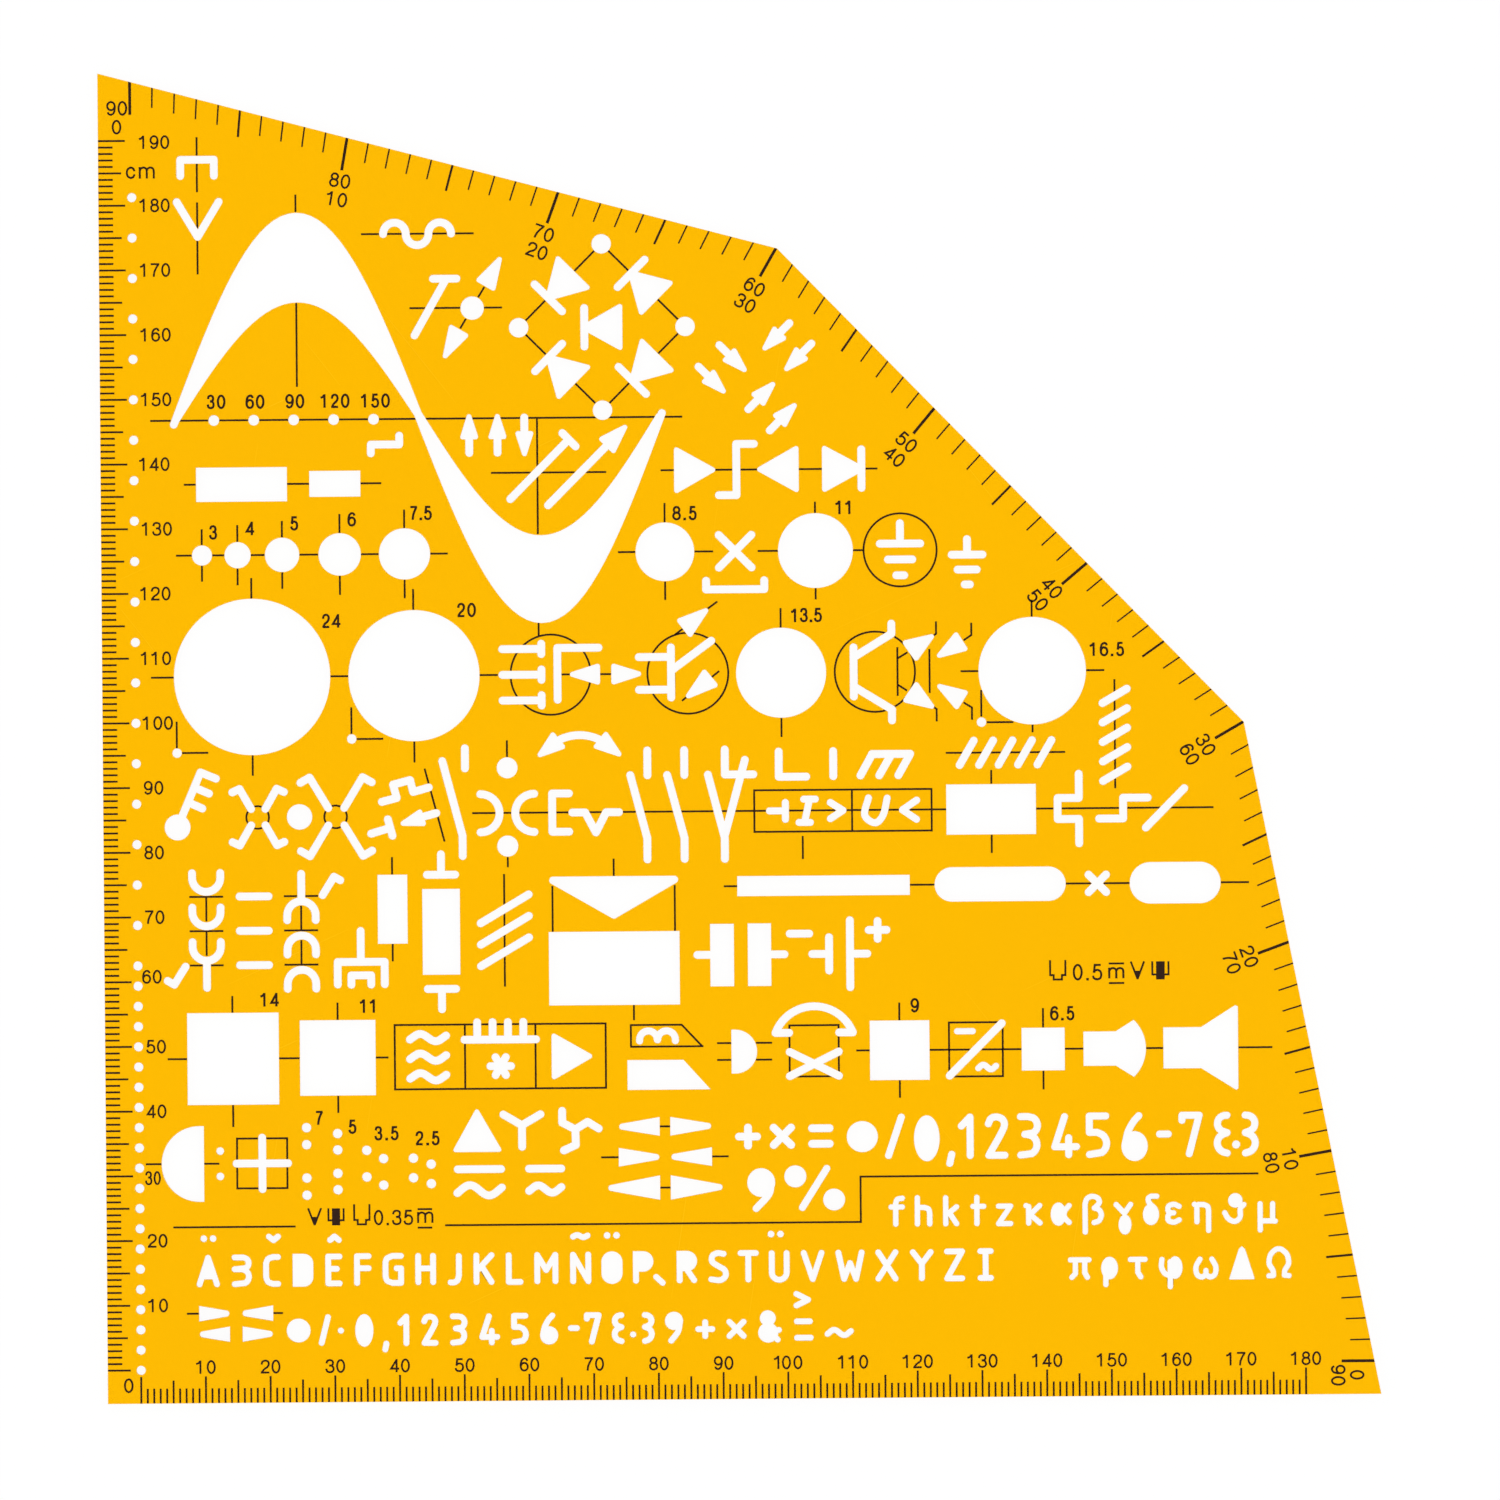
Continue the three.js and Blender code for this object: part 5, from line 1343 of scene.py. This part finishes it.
# Each ten degrees has two numbers under its graduation, the angle from one side and from the other. They
# stand on a ray, tops outward: its degrees, and the distances from the middle of the angle scale.
angleNumbers = {
    10: (9.95, 180.72, 177.76),
    20: (20.0, 182.96, 180.08),
    30: (29.96, 191.0, 188.1),
    40: (40.17, 185.73, 182.84),
    50: (49.99, 186.07, 183.15),
    60: (59.98, 192.51, 189.61),
    70: (70.0, 186.5, 183.56),
    80: (80.0, 186.45, 183.54),
}
angleWords = writing("0", 187.9, -2.2, angleStyle, -90) + writing("90", 184.98, -2.23, angleStyle, -90)
angleWords += writing("90", -2.2, 195.05, angleStyle) + writing("0", -2.25, 192.14, angleStyle)
for at, (degrees, *radii) in angleNumbers.items():
    for word, radius in zip((str(at), str(90 - at)), radii):
        x, y = np.array(angleValues["middle"]) + radius * heading(degrees)
        angleWords += writing(word, x, y, angleStyle, degrees - 90)
printed("ink_numbers_angle", angleWords)

# Diameters, side lengths and degrees beside the windows and dots they belong to: left and lower edges.
sizeLabels = (
    ("3", 11.53, 128.28), ("4", 17.08, 128.93), ("5", 24.08, 129.58), ("6", 32.93, 130.13),
    ("7,5", 42.68, 131.03), ("8.5", 83.13, 130.68), ("11", 108.33, 131.44), ("24", 28.88, 114.48),
    ("20", 49.78, 115.98), ("1", 101.33, 114.82), ("3,5", 102.71, 114.78), ("16.5", 147.44, 109.14),
    ("14", 18.86, 56.08), ("11", 34.23, 54.98), ("7", 27.33, 37.73), ("5", 32.33, 36.28),
    ("3.5", 36.33, 35.23), ("2.5", 42.68, 34.41), ("9", 119.33, 54.33),
    ("6.5", 140.88, 52.93), ("30", 11.33, 148.45), ("60", 17.33, 148.43), ("90", 23.48, 148.45),
    ("120", 28.9, 148.46), ("150", 35.14, 148.44),
)
sizeStrokes = [outline for word, x, y in sizeLabels for outline in writingFrom(word, x, y, sizeStyle)]
printed("ink_numbers_size", sizeStrokes)


# The pen signs, each from the middle of its foot: two sloping lines with a filled tip.
def pointedNib(x, y, half, height):
    slope = half / height
    tip = polygon((x, y), (x + 1.35 * slope, y + 1.35), (x - 1.35 * slope, y + 1.35))
    return [*line((x - half, y + height), (x, y + 0.1)), *line((x, y + 0.1), (x + half, y + height)), *tip]


# A filled bar in its collar.
def filledNib(x, y, half, height):
    collar = line((x - half, y + height), (x - half, y + 0.77), (x + half, y + 0.77), (x + half, y + height))
    return [*collar, *box(x - 0.53 * half, y, x + 0.53 * half, y + height)]


# A stepped outline that is open above: the right half's points, and the same mirrored in x.
def hollowNib(x, y, half, height):
    right = [(x + 0.64, y), (x + 0.64, y + 0.68), (x + half, y + 0.68), (x + half, y + height)]
    left = [(2 * x - u, v) for u, v in right[::-1]]
    return line(*left, *right)


# The letter m between two bars, from its left lower corner.
def barredLetter(x, y, width, topBar, style):
    lower, upper = (level(x + 0.09, x + width, barY) for barY in (y - 0.73, y + topBar))
    return writingFrom("m", x, y, {**style, "height": 1.8, "width": 1.6}) + lower + upper


penSigns = [
    *pointedNib(27.0, 22.15, 1.0, 2.7), *filledNib(30.31, 22.18, 1.17, 2.62),
    *hollowNib(34.3, 22.3, 1.18, 3.12), *writingFrom("0.35", 36.15, 22.13, finePen),
    *barredLetter(42.84, 22.44, 2.32, 2.13, finePen),
    *hollowNib(142.14, 59.26, 1.18, 3.0), *writingFrom("0.5", 144.45, 59.08, broadPen),
    *barredLetter(149.93, 59.37, 2.46, 2.3, broadPen), *pointedNib(154.46, 59.15, 1.03, 2.8),
    *filledNib(158.0, 59.15, 1.25, 2.8),
]
printed("ink_pen_signs", penSigns)
print("ink on the sheet:", len(inkObjects), "pieces")


# For the looks, a new node with some inputs set or linked. A tuple of node and output name is a link.
def addNode(tree, kind, inputs=None, **settings):
    node = tree.nodes.new(kind)
    for name, value in settings.items():
        setattr(node, name, value)
    for name, value in (inputs or {}).items():
        socket = node.inputs[name]
        if isinstance(value, tuple) and isinstance(value[0], bpy.types.Node):
            tree.links.new(value[0].outputs[value[1]], socket)
        else:
            socket.default_value = value
    return node


# Marks of use that the sheet and its ink share. From the place on the object, in millimetres, it puts out
# fine grain, smudges, hairline scratches, a mask of wear and painted shade on the rims and walls below the
# top face, each from 0 to 1, and a bump height.
useValues = {
    "grain": 2.2,  # grains to a millimetre
    "smudge": 0.035,
    "scratchLength": 45.0,  # the noise's grain along and across a scratch, in millimetres
    "scratchWidth": 0.3,
    "scratchTurns": (24, -52, 81),  # in degrees
    "scratchLimit": 0.785,  # the noise counts as a scratch from here, and fully a little higher
    "scratchRise": 0.05,
    "scratchDepth": 0.8,  # beside the grain's height of 1
    "edgeStart": 0.004,  # how far down from the top face the wear and the painted wall shade start, and where they are full
    "edgeDepth": 0.12,
    "relief": 0.02,  # depth that the bump stands for, in millimetres
}


def marksOfUse(values):
    group = bpy.data.node_groups.new("marks_of_use", "ShaderNodeTree")
    for name in ("Grain", "Smudge", "Scratch", "WallWearAndShade", "Height"):
        group.interface.new_socket(name, in_out="OUTPUT", socket_type="NodeSocketFloat")
    place = addNode(group, "ShaderNodeTexCoord")
    inMillimetres = addNode(
        group, "ShaderNodeVectorMath", {0: (place, "Object"), "Scale": 1 / millimetre}, operation="SCALE"
    )
    grain = addNode(
        group, "ShaderNodeTexNoise",
        {"Vector": (inMillimetres, "Vector"), "Scale": values["grain"], "Detail": 2.0, "Roughness": 0.6},
    )
    smudge = addNode(
        group, "ShaderNodeTexNoise",
        {"Vector": (inMillimetres, "Vector"), "Scale": values["smudge"], "Detail": 2.0, "Distortion": 0.6},
    )
    scratches = []
    for degrees in values["scratchTurns"]:
        turned = addNode(
            group, "ShaderNodeMapping", {
                "Vector": (inMillimetres, "Vector"),
                "Rotation": (0, 0, np.radians(degrees)),
                "Scale": (values["scratchLength"], values["scratchWidth"], 1.0),
            }, vector_type="TEXTURE",
        )
        streaks = addNode(
            group, "ShaderNodeTexNoise",
            {"Vector": (turned, "Vector"), "Scale": 1.0, "Detail": 1.0},
        )
        scratches.append(addNode(
            group, "ShaderNodeMapRange", {
                "Value": (streaks, "Fac"), "From Min": values["scratchLimit"],
                "From Max": values["scratchLimit"] + values["scratchRise"],
            },
        ))
    first, second, third = ((node, "Result") for node in scratches)
    both = addNode(group, "ShaderNodeMath", {0: first, 1: second}, operation="MAXIMUM")
    scratch = addNode(group, "ShaderNodeMath", {0: (both, 0), 1: third}, operation="MAXIMUM")
    parts = addNode(group, "ShaderNodeSeparateXYZ", {"Vector": (inMillimetres, "Vector")})
    top = sheetHigh[2] / millimetre
    depth = addNode(
        group, "ShaderNodeMapRange",
        {"Value": (parts, "Z"), "From Min": top - values["edgeStart"], "From Max": top - values["edgeDepth"]},
        interpolation_type="SMOOTHSTEP",
    )
    # wear and painted shade: the rims and walls below the top face, patched by the smudges; the gloss reads
    # it as wear, the tint as shade
    wearAndShadeMask = addNode(group, "ShaderNodeMath", {0: (depth, "Result"), 1: (smudge, "Fac")}, operation="MULTIPLY")
    height = addNode(group, "ShaderNodeMath", {
        0: (scratch, 0), 1: -values["scratchDepth"], 2: (grain, "Fac")}, operation="MULTIPLY_ADD")
    output = group.nodes.new("NodeGroupOutput")
    for name, link in (
        ("Grain", (grain, "Fac")), ("Smudge", (smudge, "Fac")), ("Scratch", (scratch, 0)),
        ("WallWearAndShade", (wearAndShadeMask, 0)), ("Height", (height, 0)),
    ):
        group.links.new(link[0].outputs[link[1]], output.inputs[name])
    return group


useGroup = marksOfUse(useValues)


# A new material's tree, its shader and a node of the shared marks of use.
def newLook(name):
    material = bpy.data.materials.new(name)
    material.use_nodes = True
    tree = material.node_tree
    shader = tree.nodes["Principled BSDF"]
    use = addNode(tree, "ShaderNodeGroup")
    use.node_tree = useGroup
    return material, tree, shader, use


# A number that moves between two values with a mask: low + mask * (high - low).
def between(tree, mask, low, high):
    return addNode(tree, "ShaderNodeMapRange", {"Value": mask, "To Min": low, "To Max": high}), "Result"


# A colour that moves between two colours with a mask.
def mixed(tree, mask, first, second):
    node = addNode(tree, "ShaderNodeMix", {"Factor": mask, "A": first, "B": second}, data_type="RGBA")
    return node, "Result"


# The tinted plastic: amber, a little uneven in its tint, glossy, with fine scratches in its gloss. The edges
# of the sheet and its cut-outs are duller, and their rims and walls carry painted shade: a darker, deeper
# tint that stands in for more plastic being seen through there.
plasticValues = {
    "tint": (0.965, 0.49, 0.0002, 1),
    "deepTint": (0.95, 0.474, 0.0001, 1),
    "wallShadeTint": (0.62, 0.37, 0.0005, 1),
    "roughness": (0.18, 0.26),
    "wornRoughness": 0.32,
    "transmission": 0.12,
    "specular": 0.35,
    "ior": 1.49,
    "bump": 0.04,
}


def plasticLook(values):
    material, tree, shader, use = newLook("plastic")
    tint = mixed(tree, (use, "Smudge"), values["tint"], values["deepTint"])
    # painted shade: the rims and walls take a darker tint, standing in for the light seen through more
    # plastic there
    tint = mixed(tree, (use, "WallWearAndShade"), tint, values["wallShadeTint"])
    rubbed = addNode(tree, "ShaderNodeMath", {0: (use, "WallWearAndShade"), 1: (use, "Scratch")}, operation="MAXIMUM")
    smooth = between(tree, (use, "Smudge"), *values["roughness"])
    rough = addNode(
        tree, "ShaderNodeMix", {"Factor": (rubbed, 0), "A": smooth, "B": values["wornRoughness"]},
        data_type="FLOAT",
    )
    relief = addNode(tree, "ShaderNodeBump", {
        "Height": (use, "Height"), "Strength": values["bump"],
        "Distance": useValues["relief"] * millimetre,
    })
    tree.links.new(tint[0].outputs[tint[1]], shader.inputs["Base Color"])
    tree.links.new(rough.outputs["Result"], shader.inputs["Roughness"])
    tree.links.new(relief.outputs["Normal"], shader.inputs["Normal"])
    shader.inputs["Transmission Weight"].default_value = values["transmission"]
    shader.inputs["Specular IOR Level"].default_value = values["specular"]
    shader.inputs["IOR"].default_value = values["ior"]
    return material


# The ink: nearly black with a brown cast, matt, and thinner here and there.
inkLookValues = {
    "full": (0.018, 0.006, 0.002, 1),
    "thin": (0.03, 0.01, 0.002, 1),
    "grain": (0.35, 0.75),  # the grain that leaves the ink full, and that makes it thin
    "roughness": (0.5, 0.72),
    "specular": 0.15,
    "bump": 0.15,
}


def inkLook(values):
    material, tree, shader, use = newLook("ink")
    cover = addNode(tree, "ShaderNodeMapRange", {
        "Value": (use, "Grain"), "From Min": values["grain"][0], "From Max": values["grain"][1]})
    tint = mixed(tree, (cover, "Result"), values["full"], values["thin"])
    rough = between(tree, (use, "Smudge"), *values["roughness"])
    relief = addNode(tree, "ShaderNodeBump", {
        "Height": (use, "Grain"), "Strength": values["bump"],
        "Distance": useValues["relief"] * millimetre,
    })
    tree.links.new(tint[0].outputs[tint[1]], shader.inputs["Base Color"])
    tree.links.new(rough[0].outputs[rough[1]], shader.inputs["Roughness"])
    tree.links.new(relief.outputs["Normal"], shader.inputs["Normal"])
    shader.inputs["Specular IOR Level"].default_value = values["specular"]
    return material


plastic, printedInk = plasticLook(plasticValues), inkLook(inkLookValues)
sheet.data.materials.append(plastic)
for mark in inkObjects:
    mark.data.materials.append(printedInk)
print("materials on", 1 + len(inkObjects), "pieces")

# The ground is pale, shows its own white to the camera and keeps some of the object's shadow. The lamps stand
# round the sheet, all at one height.
studioValues = {
    "groundReach": 3.0,
    "groundGap": 0.02,  # millimetres from the sheet's underside down to the ground
    "groundColour": (0.9, 0.9, 0.9, 1),
    "ownWhite": 0.95,  # share of the ground's look that is its own white
    "zenith": 0.0,  # brightness of the surroundings overhead, and at the height of the horizon
    "horizon": 0.6,
    "fade": (0.15, 0.85),  # sines of the heights between which the one fades into the other
    "lampPower": 23.2,
    "lampSize": 1.6,
    "lampDistance": 2.2,
    "lampHeight": 38,  # degrees over the horizon
    "lampTurns": (25, 115, 205, 295),  # compass turn of each lamp, in degrees
}


# A square ground, whose look is own white * ownWhite + lit matt white * (1 - ownWhite) where the camera or a
# reflection sees it, and lit matt white for the light it throws back.
def addGround(values):
    reach = values["groundReach"]
    mesh = bpy.data.meshes.new("ground")
    mesh.from_pydata([(-reach, -reach, 0), (reach, -reach, 0), (reach, reach, 0), (-reach, reach, 0)], [],
                     [(0, 1, 2, 3)])
    ground = bpy.data.objects.new("ground", mesh)
    ground.location = (0, 0, sheetLow[2] - values["groundGap"] * millimetre)
    bpy.context.scene.collection.objects.link(ground)
    material = bpy.data.materials.new("ground")
    material.use_nodes = True
    tree = material.node_tree
    tree.nodes.remove(tree.nodes["Principled BSDF"])
    matt = addNode(tree, "ShaderNodeBsdfDiffuse", {"Color": values["groundColour"]})
    own = addNode(tree, "ShaderNodeEmission", {"Color": (1, 1, 1, 1), "Strength": 1.0})
    rays = addNode(tree, "ShaderNodeLightPath")
    seen = addNode(tree, "ShaderNodeMath", {
        0: (rays, "Is Camera Ray"), 1: (rays, "Is Glossy Ray")}, operation="MAXIMUM")
    seen = addNode(tree, "ShaderNodeMath", {
        0: (seen, 0), 1: (rays, "Is Transmission Ray")}, operation="MAXIMUM")
    share = addNode(tree, "ShaderNodeMath", {0: (seen, 0), 1: values["ownWhite"]}, operation="MULTIPLY")
    look = addNode(tree, "ShaderNodeMixShader", {0: (share, 0), 1: (matt, "BSDF"), 2: (own, "Emission")})
    tree.links.new(look.outputs["Shader"], tree.nodes["Material Output"].inputs["Surface"])
    mesh.materials.append(material)


# Surroundings that are dark overhead, so that the gloss adds no veil, and pale towards the horizon.
def addSurroundings(values):
    world = bpy.data.worlds.new("studio")
    world.use_nodes = True
    tree = world.node_tree
    direction = addNode(tree, "ShaderNodeTexCoord")
    parts = addNode(tree, "ShaderNodeSeparateXYZ", {"Vector": (direction, "Generated")})
    strength = addNode(tree, "ShaderNodeMapRange", {
        "Value": (parts, "Z"), "From Min": values["fade"][0], "From Max": values["fade"][1],
        "To Min": values["horizon"], "To Max": values["zenith"],
    }, interpolation_type="SMOOTHSTEP")
    tree.links.new(strength.outputs["Result"], tree.nodes["Background"].inputs["Strength"])
    tree.nodes["Background"].inputs["Color"].default_value = (1, 1, 1, 1)
    bpy.context.scene.world = world


# Large square lamps at distance * direction, each turned to face the sheet's middle.
def addLamps(values):
    for turn in values["lampTurns"]:
        lamp = bpy.data.lights.new("lamp", "AREA")
        lamp.shape = "SQUARE"
        lamp.size = values["lampSize"]
        lamp.energy = values["lampPower"]
        lampObject = bpy.data.objects.new("lamp", lamp)
        bpy.context.scene.collection.objects.link(lampObject)
        tilt, around = np.radians(90 - values["lampHeight"]), np.radians(turn)
        direction = (np.sin(tilt) * np.sin(around), -np.sin(tilt) * np.cos(around), np.cos(tilt))
        lampObject.location = np.array(direction) * values["lampDistance"]
        lampObject.rotation_euler = (tilt, 0, around)


addGround(studioValues)
addSurroundings(studioValues)
addLamps(studioValues)
bpy.context.scene.view_settings.view_transform = "Standard"
